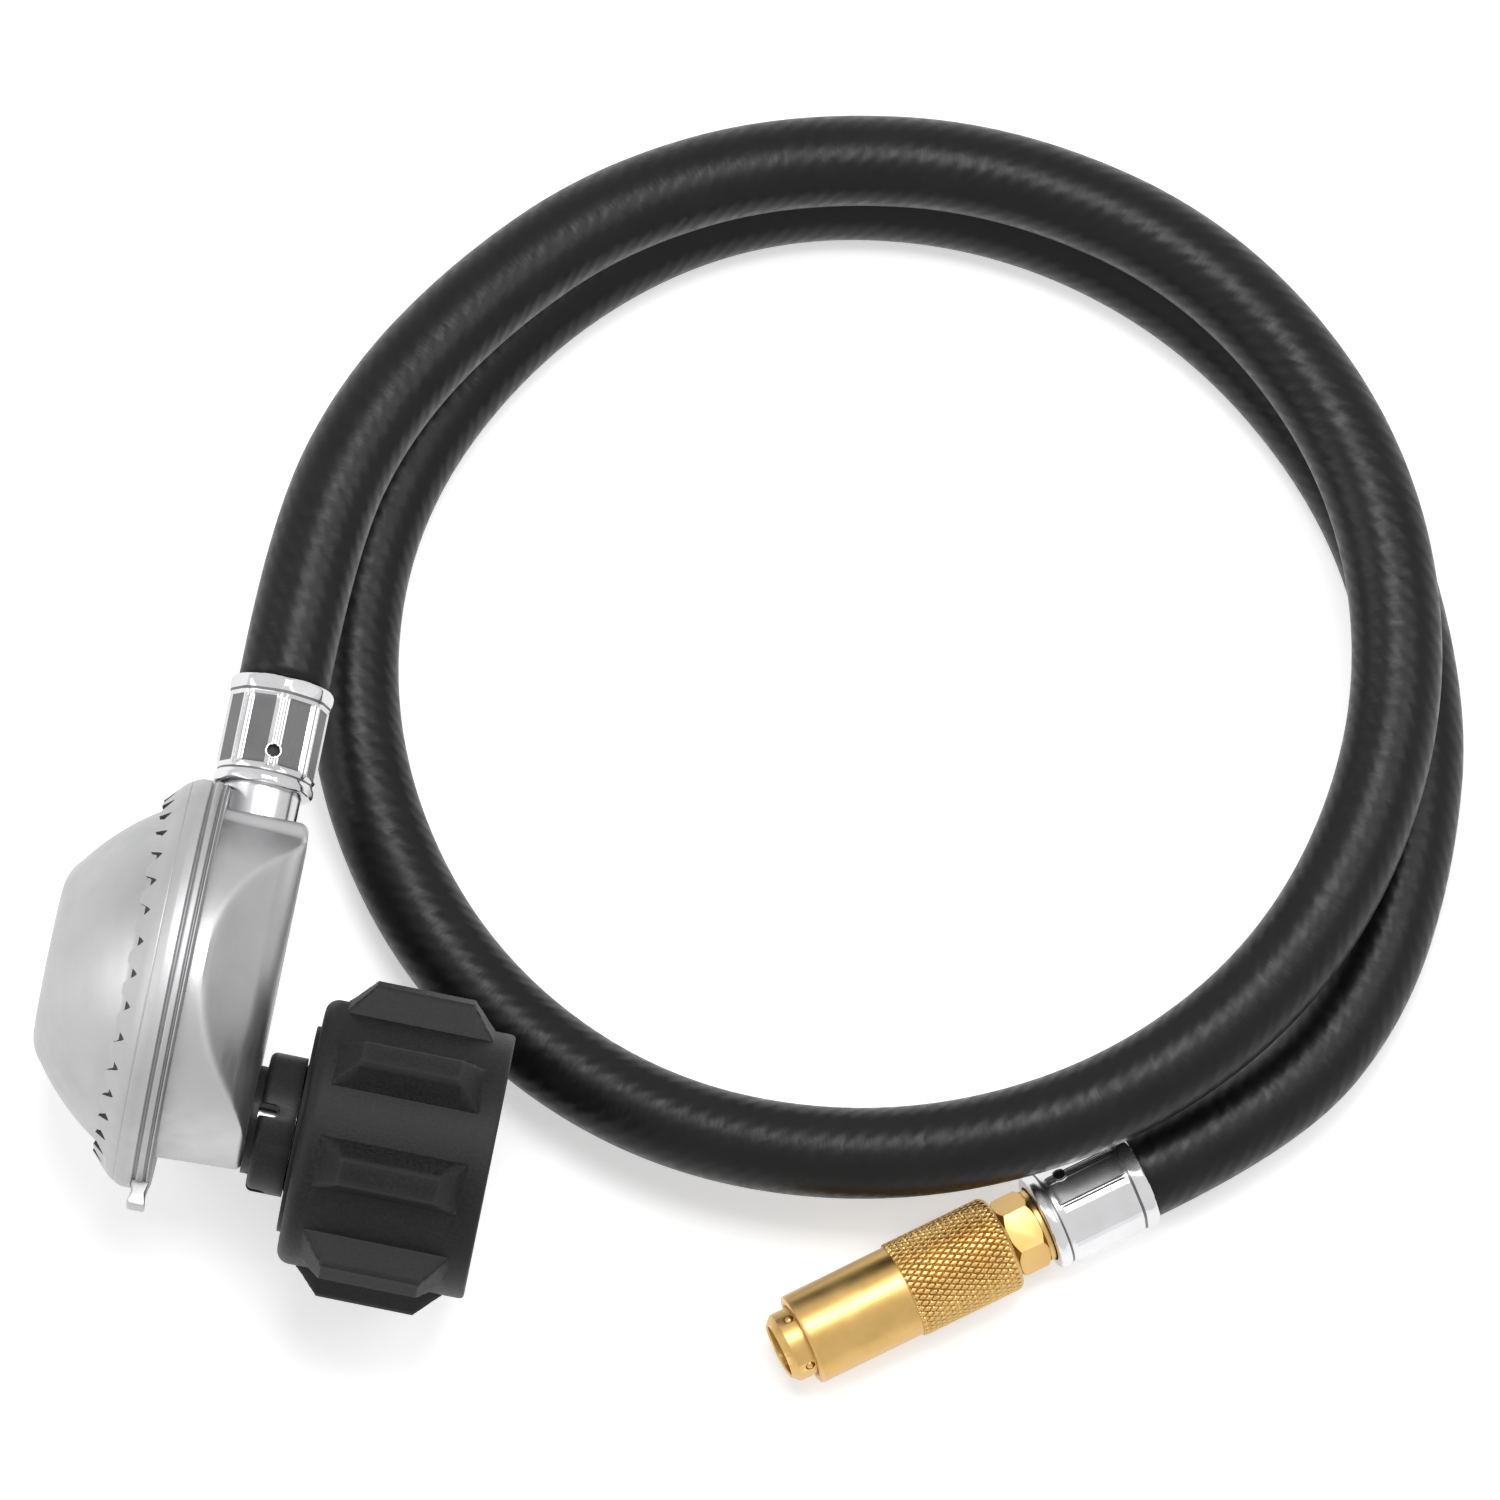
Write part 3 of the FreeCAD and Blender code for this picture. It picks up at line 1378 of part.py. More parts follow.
doc.recompute()
for thing in doc.Objects:
    if "Invalid" in thing.State or "Error" in thing.State:
        raise RuntimeError(f"{thing.Label} did not build")
os.makedirs("parts", exist_ok=True)
for thing in parts:
    shape = thing.Shape
    if shape.isNull() or not shape.isValid() or not shape.Solids:
        raise RuntimeError(f"{thing.Label} has no valid shape")
    shape.exportStep(f"parts/{thing.Label}.step")
    box = shape.BoundBox
    print(f"{thing.Label:20s} {shape.Volume:9.1f} mm3  x {box.XMin:7.2f} {box.XMax:7.2f}"
          f"  y {box.YMin:7.2f} {box.YMax:7.2f}  z {box.ZMin:7.2f} {box.ZMax:7.2f}")
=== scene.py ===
import json
import math

import bmesh
import bpy
import numpy as np
from mathutils import Matrix, Quaternion, Vector


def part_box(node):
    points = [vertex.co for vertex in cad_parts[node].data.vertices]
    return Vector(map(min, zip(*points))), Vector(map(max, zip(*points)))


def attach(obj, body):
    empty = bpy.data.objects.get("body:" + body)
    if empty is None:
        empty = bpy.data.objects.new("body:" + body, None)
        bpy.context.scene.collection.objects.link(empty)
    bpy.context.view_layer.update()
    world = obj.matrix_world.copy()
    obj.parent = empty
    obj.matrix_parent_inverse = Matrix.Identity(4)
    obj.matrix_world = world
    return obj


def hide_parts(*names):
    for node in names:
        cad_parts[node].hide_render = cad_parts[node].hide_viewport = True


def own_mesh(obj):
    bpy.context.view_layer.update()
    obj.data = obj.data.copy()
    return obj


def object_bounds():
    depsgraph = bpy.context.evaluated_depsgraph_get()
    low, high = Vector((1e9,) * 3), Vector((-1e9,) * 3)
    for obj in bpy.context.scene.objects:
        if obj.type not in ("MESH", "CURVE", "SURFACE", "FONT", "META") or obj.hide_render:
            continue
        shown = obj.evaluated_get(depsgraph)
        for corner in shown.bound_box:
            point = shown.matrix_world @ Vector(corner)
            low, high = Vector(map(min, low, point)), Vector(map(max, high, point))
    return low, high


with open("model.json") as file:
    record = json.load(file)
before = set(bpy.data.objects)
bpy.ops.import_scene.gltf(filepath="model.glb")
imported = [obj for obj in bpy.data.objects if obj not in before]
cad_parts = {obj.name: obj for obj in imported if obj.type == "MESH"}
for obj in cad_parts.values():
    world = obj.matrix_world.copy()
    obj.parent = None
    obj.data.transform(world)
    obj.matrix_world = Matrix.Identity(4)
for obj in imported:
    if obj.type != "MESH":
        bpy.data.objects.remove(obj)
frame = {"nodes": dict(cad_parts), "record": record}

# Looks of a low-pressure gas regulator with its hose and quick coupler. Blender works in metres; the turned
# pieces are described in millimetres along their own axis and scaled once, when their mesh is made.
MM = 0.001
STATIC = "regulator_and_hose"
cad_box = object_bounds()
scene = bpy.context.scene


# ---------------------------------------------------------------- camera

AZIMUTH = math.radians(-3.0)
ROLL = math.radians(14.4)
ELEVATION = math.radians(78.0)
CAMERA_DISTANCE = 3.0
SENSOR_WIDTH = 36.0
CLIP_RANGE = (0.05, 20.0)
VIEW_WIDTH = 0.2625
VIEW_CENTRE = Vector((0.0714, 0.056, 0.0362))


def make_camera():
    """Long lens that looks down at the object, with the photograph's tilt."""
    back = Vector((
        math.sin(AZIMUTH) * math.cos(ELEVATION),
        -math.cos(AZIMUTH) * math.cos(ELEVATION),
        math.sin(ELEVATION),
    ))
    data = bpy.data.cameras.new("camera")
    data.sensor_width = SENSOR_WIDTH
    data.lens = SENSOR_WIDTH * CAMERA_DISTANCE / VIEW_WIDTH
    data.clip_start, data.clip_end = CLIP_RANGE
    camera = bpy.data.objects.new("camera", data)
    camera.location = VIEW_CENTRE + back * CAMERA_DISTANCE
    camera.rotation_mode = "QUATERNION"
    camera.rotation_quaternion = (-back).to_track_quat("-Z", "Y") @ Quaternion((0, 0, 1), ROLL)
    scene.collection.objects.link(camera)
    scene.camera = camera


make_camera()


# ---------------------------------------------------------------- places that several pieces share

def middle(node):
    """Centre of a CAD node's box."""
    low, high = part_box(node)
    return (low + high) / 2


COVER_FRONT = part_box("cover")[0].x
AXIS = Vector((0.0, middle("cover").y, middle("cover").z))
OUTLET_X = middle("outlet_nipple").x
FERRULE_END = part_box("regulator_ferrule")[1].y
NUT_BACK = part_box("cylinder_nut")[0].x
INLET_Y = middle("cylinder_nut").y

# The coupler's axis, from the hose's end towards the nose
COUPLER_PLACE = Vector((0.1543, 0.0013, 0.0092))
COUPLER_TURN = math.radians(217.8)


def on_coupler(distance, roll=0.0):
    """Place on the coupler's axis, some way from the hose's end and turned about it."""
    frame_there = Matrix.Translation(COUPLER_PLACE) @ Matrix.Rotation(COUPLER_TURN, 4, "Z")
    return frame_there @ Matrix.Translation((distance, 0, 0)) @ Matrix.Rotation(roll, 4, "X")


# ---------------------------------------------------------------- meshes

NEARLY_STRAIGHT = math.radians(12)
ROUNDED_SHARE = 0.45
MERGE_DISTANCE = 1e-7
CAD_MERGE_DISTANCE = 1e-6
FLAT_ANGLE = math.radians(1)
SHARP_ANGLE = math.radians(30)
BEVEL_PROFILE = 0.6


def arc(start, through, end, count):
    """Points of the circle's arc from start through a third point to end, without its start."""
    (x1, y1), (x2, y2), (x3, y3) = start, through, end
    twice = 2 * (x1 * (y2 - y3) + x2 * (y3 - y1) + x3 * (y1 - y2))
    s1, s2, s3 = x1 * x1 + y1 * y1, x2 * x2 + y2 * y2, x3 * x3 + y3 * y3
    cx = (s1 * (y2 - y3) + s2 * (y3 - y1) + s3 * (y1 - y2)) / twice
    cy = (s1 * (x3 - x2) + s2 * (x1 - x3) + s3 * (x2 - x1)) / twice
    radius = math.hypot(x1 - cx, y1 - cy)
    first = math.atan2(y1 - cy, x1 - cx)
    half = (math.atan2(y2 - cy, x2 - cx) - first) % (2 * math.pi)
    whole = (math.atan2(y3 - cy, x3 - cx) - first) % (2 * math.pi)
    if half > whole:
        whole -= 2 * math.pi
    return [(cx + radius * math.cos(first + whole * i / count),
             cy + radius * math.sin(first + whole * i / count)) for i in range(1, count + 1)]


def soften(points, radius, steps=3, closed=True):
    """Rounds the corners of an outline. A run never takes more than a share of a short side."""
    made = []
    count = len(points)
    for index, here in enumerate(points):
        if not closed and index in (0, count - 1):
            made.append(here)
            continue
        before, after = points[index - 1], points[(index + 1) % count]
        here_v, before_v, after_v = Vector(here), Vector(before), Vector(after)
        to_before, to_after = before_v - here_v, after_v - here_v
        if math.pi - to_before.angle(to_after) < NEARLY_STRAIGHT:
            made.append(here)
            continue
        reach = min(radius, ROUNDED_SHARE * to_before.length, ROUNDED_SHARE * to_after.length)
        first = here_v + to_before.normalized() * reach
        last = here_v + to_after.normalized() * reach
        for step in range(steps + 1):
            t = step / steps
            point = first * (1 - t) ** 2 + here_v * 2 * t * (1 - t) + last * t ** 2
            made.append((point.x, point.y))
    return made


def smooth_min(a, b, blend):
    """Smaller of two values, rounded where they meet over a width of blend."""
    h = np.clip(0.5 + 0.5 * (b - a) / blend, 0, 1)
    return b * (1 - h) + a * h - blend * h * (1 - h)


def smooth_max(a, b, blend):
    """Larger of two values, rounded where they meet over a width of blend."""
    return -smooth_min(-a, -b, blend)


def smooth_step(x, low, high):
    """Rises smoothly from 0 at low to 1 at high."""
    t = np.clip((x - low) / (high - low), 0, 1)
    return t * t * (3 - 2 * t)


def show(name, mesh, body, slot, *nodes):
    """Makes the object of a finished mesh, and says what it stands for."""
    piece = bpy.data.objects.new(name, mesh)
    scene.collection.objects.link(piece)
    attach(piece, body)
    if nodes:
        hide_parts(*nodes)
    mesh.materials.append(materials[slot])
    return piece


def shade(mesh, angle=35.0):
    """Smooth shading, with edges sharper than an angle in degrees kept sharp."""
    mesh.shade_smooth()
    mesh.set_sharp_from_angle(angle=math.radians(angle))


def grid_mesh(name, grid, place, ring=False, angle=35.0):
    """Mesh of rows of points, each row closed round the axis. A ring joins its last row to its first, and
    an open grid is capped at both ends."""
    rows, around = grid.shape[:2]
    points = grid.reshape(-1, 3) * MM
    faces = []
    for row in range(rows if ring else rows - 1):
        low, high = row * around, ((row + 1) % rows) * around
        for k in range(around):
            after = (k + 1) % around
            faces.append((low + k, low + after, high + after, high + k))
    if not ring:
        faces.append(tuple(range(around))[::-1])
        faces.append(tuple((rows - 1) * around + k for k in range(around)))
    mesh = bpy.data.meshes.new(name)
    mesh.from_pydata([tuple(p) for p in points], [], faces)
    built = bmesh.new()
    built.from_mesh(mesh)
    bmesh.ops.remove_doubles(built, verts=built.verts, dist=MERGE_DISTANCE)
    bmesh.ops.recalc_face_normals(built, faces=built.faces)
    built.to_mesh(mesh)
    built.free()
    mesh.transform(place)
    shade(mesh, angle)
    return mesh


def turn(outline, angles, relief=None):
    """Grid of an outline of (x, radius) turned about x. The relief gets x, radius and angle as arrays
    and gives the new x and radius."""
    x, angle = np.meshgrid([p[0] for p in outline], angles, indexing="ij")
    radius = np.repeat(np.array([p[1] for p in outline])[:, None], len(angles), axis=1)
    if relief:
        x, radius = relief(x, radius, angle)
    return np.stack([x, radius * np.sin(angle), radius * np.cos(angle)], axis=-1)


def even_angles(count):
    """Angles of a full turn in equal steps."""
    return np.arange(count) * 2 * math.pi / count


def cut(mesh, tool_points, name):
    """Cuts a convex tool out of a mesh. The tool is given by its corners in the mesh's own place."""
    tool_mesh = bpy.data.meshes.new("tool")
    built = bmesh.new()
    for point in tool_points:
        built.verts.new(point)
    bmesh.ops.convex_hull(built, input=built.verts)
    built.to_mesh(tool_mesh)
    built.free()
    body = bpy.data.objects.new(name, mesh)
    tool = bpy.data.objects.new("tool", tool_mesh)
    scene.collection.objects.link(body)
    scene.collection.objects.link(tool)
    modifier = body.modifiers.new("cut", "BOOLEAN")
    modifier.operation = "DIFFERENCE"
    modifier.solver = "EXACT"
    modifier.object = tool
    graph = bpy.context.evaluated_depsgraph_get()
    result = bpy.data.meshes.new_from_object(body.evaluated_get(graph))
    bpy.data.objects.remove(body)
    bpy.data.objects.remove(tool)
    shade(result)
    return result


def drum(place, radius, low, high, sides=32):
    """Corners of a cylinder along the place's own z axis."""
    return [place @ Vector((radius * math.cos(a) * MM, radius * math.sin(a) * MM, end * MM))
            for end in (low, high) for a in even_angles(sides)]


def softened(node, width):
    """Copy of a fixed CAD node with its sharp edges broken, to a width in millimetres."""
    source = frame["nodes"][node]
    mesh = source.data.copy()
    mesh.materials.clear()
    built = bmesh.new()
    built.from_mesh(mesh)
    bmesh.ops.remove_doubles(built, verts=built.verts, dist=CAD_MERGE_DISTANCE)
    bmesh.ops.dissolve_limit(built, angle_limit=FLAT_ANGLE, verts=built.verts, edges=built.edges)
    sharp = [edge for edge in built.edges
             if len(edge.link_faces) == 2 and edge.calc_face_angle(0) > SHARP_ANGLE]
    bmesh.ops.bevel(built, geom=sharp, offset=width * MM, segments=2, profile=BEVEL_PROFILE,
                    affect="EDGES", clamp_overlap=True)
    bmesh.ops.remove_doubles(built, verts=built.verts, dist=MERGE_DISTANCE)
    built.to_mesh(mesh)
    built.free()
    shade(mesh, 40)
    return show(node + "_finished", mesh, STATIC, slots[node], node)


# ---------------------------------------------------------------- materials

class Nodes:
    """Small helper that builds a material's node tree."""

    def __init__(self, name):
        self.material = bpy.data.materials.new(name)
        self.material.use_nodes = True
        self.tree = self.material.node_tree
        self.shader = self.tree.nodes["Principled BSDF"]

    def add(self, kind, **settings):
        node = self.tree.nodes.new(kind)
        for key, value in settings.items():
            if key in node.inputs:
                node.inputs[key].default_value = value
            else:
                setattr(node, key, value)
        return node

    def link(self, source, target):
        self.tree.links.new(source, target)

    def coordinates(self, stretch=(1, 1, 1), turn=0.0, uv=None):
        """Object coordinates, or those of a UV map, stretched and then turned."""
        if uv:
            source = self.add("ShaderNodeUVMap", uv_map=uv).outputs["UV"]
        else:
            source = self.add("ShaderNodeTexCoord").outputs["Object"]
        mapping = self.add("ShaderNodeMapping")
        mapping.inputs["Scale"].default_value = stretch
        mapping.inputs["Rotation"].default_value = (0, 0, turn)
        self.link(source, mapping.inputs["Vector"])
        return mapping.outputs["Vector"]

    def noise(self, vector, scale, detail=4.0, rough=0.55):
        node = self.add("ShaderNodeTexNoise", Scale=scale, Detail=detail, Roughness=rough)
        self.link(vector, node.inputs["Vector"])
        return node.outputs["Fac"]

    def ramp(self, value, stops):
        """Colour of a value between two stops, each a position and a colour."""
        node = self.add("ShaderNodeValToRGB")
        ramp = node.color_ramp
        for element, (position, colour) in zip(ramp.elements, stops):
            element.position = position
            element.color = (*colour, 1.0)
        self.link(value, node.inputs["Fac"])
        return node.outputs["Color"]

    def spread(self, value, low, high, start=0.3, end=0.7):
        """Maps the range from start to end of a value onto low to high."""
        node = self.add("ShaderNodeMapRange")
        for key, number in (("From Min", start), ("From Max", end), ("To Min", low), ("To Max", high)):
            node.inputs[key].default_value = number
        self.link(value, node.inputs["Value"])
        return node.outputs["Result"]

    def mixed(self, factor, first, second, blend="MIX"):
        """Mix of two colours, each a socket or a plain value."""
        node = self.add("ShaderNodeMix", data_type="RGBA", blend_type=blend)
        for socket, value in ((node.inputs[0], factor), (node.inputs[6], first), (node.inputs[7], second)):
            if isinstance(value, bpy.types.NodeSocket):
                self.link(value, socket)
            elif isinstance(value, tuple):
                socket.default_value = (*value, 1.0)
            else:
                socket.default_value = value
        return node.outputs[2]

    def math(self, operation, first, second=0.0):
        node = self.add("ShaderNodeMath", operation=operation)
        for socket, value in zip(node.inputs, (first, second)):
            if isinstance(value, bpy.types.NodeSocket):
                self.link(value, socket)
            else:
                socket.default_value = value
        return node.outputs[0]

    def bump(self, height, strength, distance, under=None):
        node = self.add("ShaderNodeBump", Strength=strength, Distance=distance)
        self.link(height, node.inputs["Height"])
        if under is not None:
            self.link(under, node.inputs["Normal"])
        return node.outputs["Normal"]

    def pointed(self, low, high):
        """Share that grows on convex edges."""
        geometry = self.add("ShaderNodeNewGeometry")
        return self.spread(geometry.outputs["Pointiness"], 0.0, 1.0, low, high)

    def finish(self, colour, roughness, normal=None, metallic=0.0, specular=0.5):
        self.link(colour, self.shader.inputs["Base Color"])
        self.link(roughness, self.shader.inputs["Roughness"])
        if normal is not None:
            self.link(normal, self.shader.inputs["Normal"])
        self.shader.inputs["Metallic"].default_value = metallic
        self.shader.inputs["Specular IOR Level"].default_value = specular
        return self.material


def cast_metal(name, tone, grain, roughness):
    """Satin die-cast alloy: fine sandy skin, faint flow marks and paler edges."""
    n = Nodes(name)
    place = n.coordinates()
    cloud = n.noise(place, scale=45.0, detail=3.0)
    sand = n.noise(place, scale=2600.0, detail=2.0)
    flow = n.noise(n.coordinates((1.0, 0.25, 1.0)), scale=260.0, detail=4.0)
    colour = n.ramp(cloud, [(0.3, tuple(t * 0.86 for t in tone)), (0.7, tone)])
    colour = n.mixed(n.pointed(low=0.52, high=0.6), colour, tuple(min(1.0, t * 1.2) for t in tone))
    rough = n.spread(flow, *roughness)
    normal = n.bump(sand, strength=grain, distance=0.00005)
    normal = n.bump(flow, strength=0.12, distance=0.0002, under=normal)
    return n.finish(colour, rough, normal, metallic=1.0)


def plated_metal(name, tone, roughness, brush=(1, 1, 1), brush_scale=500.0, strength=0.06):
    """Bright plating with faint tool marks and a little haze. Brush stretches the marks."""
    n = Nodes(name)
    marks = n.noise(n.coordinates(brush), brush_scale, 3.0)
    haze = n.noise(n.coordinates(), scale=90.0, detail=3.0)
    colour = n.ramp(haze, [(0.35, tuple(t * 0.9 for t in tone)), (0.65, tone)])
    rough = n.spread(haze, *roughness)
    normal = n.bump(marks, strength=strength, distance=0.00006)
    return n.finish(colour, rough, normal, metallic=1.0)


def turned_brass(name, tone, roughness=(0.2, 0.34)):
    """Brass with turning marks round its axis, slightly darker in its low places."""
    n = Nodes(name)
    along = n.coordinates((1, 0.03, 0.03))
    marks = n.noise(n.coordinates(turn=-COUPLER_TURN), scale=420.0, detail=2.0)
    haze = n.noise(n.coordinates(), scale=130.0, detail=4.0)
    fine = n.noise(along, scale=4200.0, detail=2.0)
    colour = n.ramp(haze, [(0.3, tuple(t * s for t, s in zip(tone, (0.84, 0.8, 0.7)))), (0.7, tone)])
    colour = n.mixed(n.pointed(low=0.51, high=0.6), colour, tuple(min(1.0, t * 1.18) for t in tone))
    rough = n.spread(haze, *roughness)
    normal = n.bump(fine, strength=0.12, distance=0.00004)
    normal = n.bump(marks, strength=0.06, distance=0.00008, under=normal)
    return n.finish(colour, rough, normal, metallic=1.0)


def moulded_plastic(name, tone, grain=0.5, roughness=(0.42, 0.58)):
    """Moulded black plastic with a fine spark-eroded grain and rubbed edges."""
    n = Nodes(name)
    place = n.coordinates()
    grit = n.noise(place, scale=1500.0, detail=4.0, rough=0.75)
    cloud = n.noise(place, scale=70.0, detail=4.0)
    colour = n.ramp(cloud, [(0.3, tuple(t * 0.8 for t in tone)), (0.7, tuple(t * 1.25 for t in tone))])
    speck = n.ramp(grit, [(0.38, (0.45, 0.45, 0.45)), (0.62, (1.7, 1.7, 1.7))])
    colour = n.mixed(1.0, colour, speck, "MULTIPLY")
    colour = n.mixed(n.pointed(low=0.505, high=0.56), colour, tuple(t * 2.0 + 0.004 for t in tone))
    rough = n.spread(grit, *roughness)
    normal = n.bump(grit, strength=grain, distance=0.00016)
    return n.finish(colour, rough, normal, specular=0.22)


def inner_material(name, tone, metallic, roughness):
    """Plain finish of a hidden piece, or of a painted shade: cloudy tone and a light grain."""
    n = Nodes(name)
    cloud = n.noise(n.coordinates(), scale=200.0, detail=4.0)
    colour = n.ramp(cloud, [(0.3, tuple(t * 0.8 for t in tone)), (0.7, tone)])
    rough = n.spread(cloud, roughness - 0.06, roughness + 0.08)
    normal = n.bump(n.noise(n.coordinates(), scale=1800.0, detail=2.0), strength=0.2, distance=0.00005)
    return n.finish(colour, rough, normal, metallic=metallic)


BRAID_SLANT = math.radians(42)
MARKS_SLANT = math.radians(38)
HOSE_ROUGHNESS = (0.3, 0.44)


def hose_rubber(name):
    """Smooth black rubber through which the braid below it shows as short slanting marks."""
    n = Nodes(name)
    cloud = n.noise(n.coordinates(), scale=120.0, detail=4.0)
    fine = n.noise(n.coordinates(), scale=1500.0, detail=3.0)
    slanted = n.coordinates(turn=BRAID_SLANT, uv="Route")
    short = n.coordinates((1.0, 0.45, 1.0), MARKS_SLANT, uv="Route")
    marks = n.noise(short, scale=480.0, detail=2.0)
    colour = n.ramp(cloud, [(0.3, (0.004, 0.004, 0.004)), (0.7, (0.007, 0.007, 0.007))])
    rough = n.spread(marks, *HOSE_ROUGHNESS)
    braid = n.add("ShaderNodeTexWave", wave_type="BANDS", bands_direction="X",
                  Scale=120.0, Distortion=2.5)
    braid.inputs["Detail Scale"].default_value = 1.5
    n.link(slanted, braid.inputs["Vector"])
    normal = n.bump(braid.outputs["Fac"], strength=0.24, distance=0.00018)
    normal = n.bump(marks, strength=0.5, distance=0.00022, under=normal)
    normal = n.bump(fine, strength=0.12, distance=0.00005, under=normal)
    return n.finish(colour, rough, normal, specular=0.22)


# Slot of each CAD node, and the materials by name. A node wears its slot's material, unless looks names
# another.
slots = {row["node"]: row["material_slot"] for row in frame["record"]["subparts"]}
materials = {
    "cast_cover": cast_metal("cast_cover", (0.45, 0.45, 0.455), 0.35, (0.42, 0.54)),
    "cast_rim": cast_metal("cast_rim", (0.44, 0.44, 0.445), 0.3, (0.48, 0.6)),
    "cast_body": cast_metal("cast_body", (0.5, 0.5, 0.505), 0.3, (0.38, 0.5)),
    # Painted shade: dark tone for the cover under the rim's teeth and for the rim's faces under its lip
    "seam_painted_shade": inner_material("seam_painted_shade", (0.07, 0.07, 0.07), 1.0, 0.6),
    # Painted shade: darker tone for the faces inside the rim's two grooves
    "groove_painted_shade": inner_material("groove_painted_shade", (0.26, 0.26, 0.265), 1.0, 0.5),
    "mesh": inner_material("mesh", (0.5, 0.5, 0.51), 1.0, 0.4),
    "soft_rubber": inner_material("soft_rubber", (0.022, 0.022, 0.022), 0.0, 0.6),
    "zinc_plate": inner_material("zinc_plate", (0.6, 0.6, 0.56), 1.0, 0.35),
    "brass_inner": turned_brass("brass_inner", (0.8, 0.58, 0.27)),
    "spring_steel": inner_material("spring_steel", (0.58, 0.58, 0.6), 1.0, 0.25),
    "inner_plastic": inner_material("inner_plastic", (0.7, 0.68, 0.62), 0.0, 0.5),
    "bushing_plastic": moulded_plastic("bushing_plastic", (0.009, 0.009, 0.0095), 0.25, (0.35, 0.48)),
    "nut_plastic": moulded_plastic("nut_plastic", (0.0075, 0.0075, 0.008)),
    "plated_steel": plated_metal("plated_steel", (0.62, 0.62, 0.63), (0.16, 0.28)),
    "chrome_ferrule": plated_metal("chrome_ferrule", (0.62, 0.62, 0.63), (0.12, 0.2), strength=0.01),
    "satin_ferrule": plated_metal("satin_ferrule", (0.68, 0.68, 0.69), (0.2, 0.3),
                                  brush_scale=900.0, strength=0.12),
    # Brushed marks are real. The dark tone is a painted reflection on the sunk panels and the bands beside
    # the lips
    "brushed_panel_painted_dark": plated_metal("brushed_panel_painted_dark", (0.14, 0.14, 0.143), (0.34, 0.5),
                                  brush=(0.3, 0.3, 1), brush_scale=2200.0, strength=0.4),
    "hose_rubber": hose_rubber("hose_rubber"),
    "brass": turned_brass("brass", (0.62, 0.41, 0.155), (0.28, 0.42)),
    # Painted shade: dark brass for the low faces between the knurl's diamonds
    "brass_painted_groove_shade": turned_brass("brass_painted_groove_shade", (0.36, 0.2, 0.06), (0.4, 0.5)),
}
looks = {"inlet_nipple": "plated_steel", **{"lock_ball_%d" % n: "brass" for n in (1, 2, 3, 4)}}
for node, piece in frame["nodes"].items():
    piece.data.materials.clear()
    piece.data.materials.append(materials[looks.get(node, slots[node])])
    shade(piece.data, 32)


# ---------------------------------------------------------------- hose

# Sizes and route in metres. The route's points lie between the two ferrules' mouths
HOSE_DIAMETER = 0.016
HOSE_START = Vector((OUTLET_X, FERRULE_END, AXIS.z))
HOSE_ROUTE = [
    (-0.011, 0.078, 0.0362),
    (-0.005, 0.103, 0.0347),
    (0.009, 0.127, 0.0318),
    (0.029, 0.149, 0.0284),
    (0.058, 0.165, 0.0256),
    (0.096, 0.171, 0.025),
    (0.137, 0.161, 0.025),
    (0.170, 0.131, 0.025),
    (0.184, 0.089, 0.025),
    (0.176, 0.044, 0.025),
    (0.149, 0.010, 0.0245),
    (0.109, -0.009, 0.021),
    (0.065, -0.009, 0.015),
    (0.026, 0.012, 0.0095),
    (0.001, 0.049, 0.008),
    (-0.003, 0.092, 0.008),
    (0.0165, 0.133, 0.008),
    (0.0505, 0.161, 0.008),
    (0.094, 0.169, 0.008),
    (0.136, 0.158, 0.008),
    (0.170, 0.130, 0.008),
    (0.187, 0.095, 0.008),
    (0.190, 0.067, 0.008),
    (0.187, 0.040, 0.0082),
    (0.1748, 0.0172, 0.0088),
]
HOSE_SIDES = 56
ROUTE_STEPS = 24
INSIDE_FERRULE = 0.0027


def route_line():
    """The route's smooth line, as points read from its NURBS spline."""
    curve = bpy.data.curves.new("route", "CURVE")
    curve.dimensions = "3D"
    spline = curve.splines.new("NURBS")
    points = [HOSE_START, *map(Vector, HOSE_ROUTE), COUPLER_PLACE]
    spline.points.add(len(points) - 1)
    for point, place in zip(spline.points, points):
        point.co = (*place, 1.0)
    spline.order_u = 3
    spline.use_endpoint_u = True
    spline.resolution_u = ROUTE_STEPS
    line = bpy.data.objects.new("route", curve)
    scene.collection.objects.link(line)
    graph = bpy.context.evaluated_depsgraph_get()
    mesh = bpy.data.meshes.new_from_object(line.evaluated_get(graph))
    places = [vertex.co.copy() for vertex in mesh.vertices]
    bpy.data.objects.remove(line)
    return places


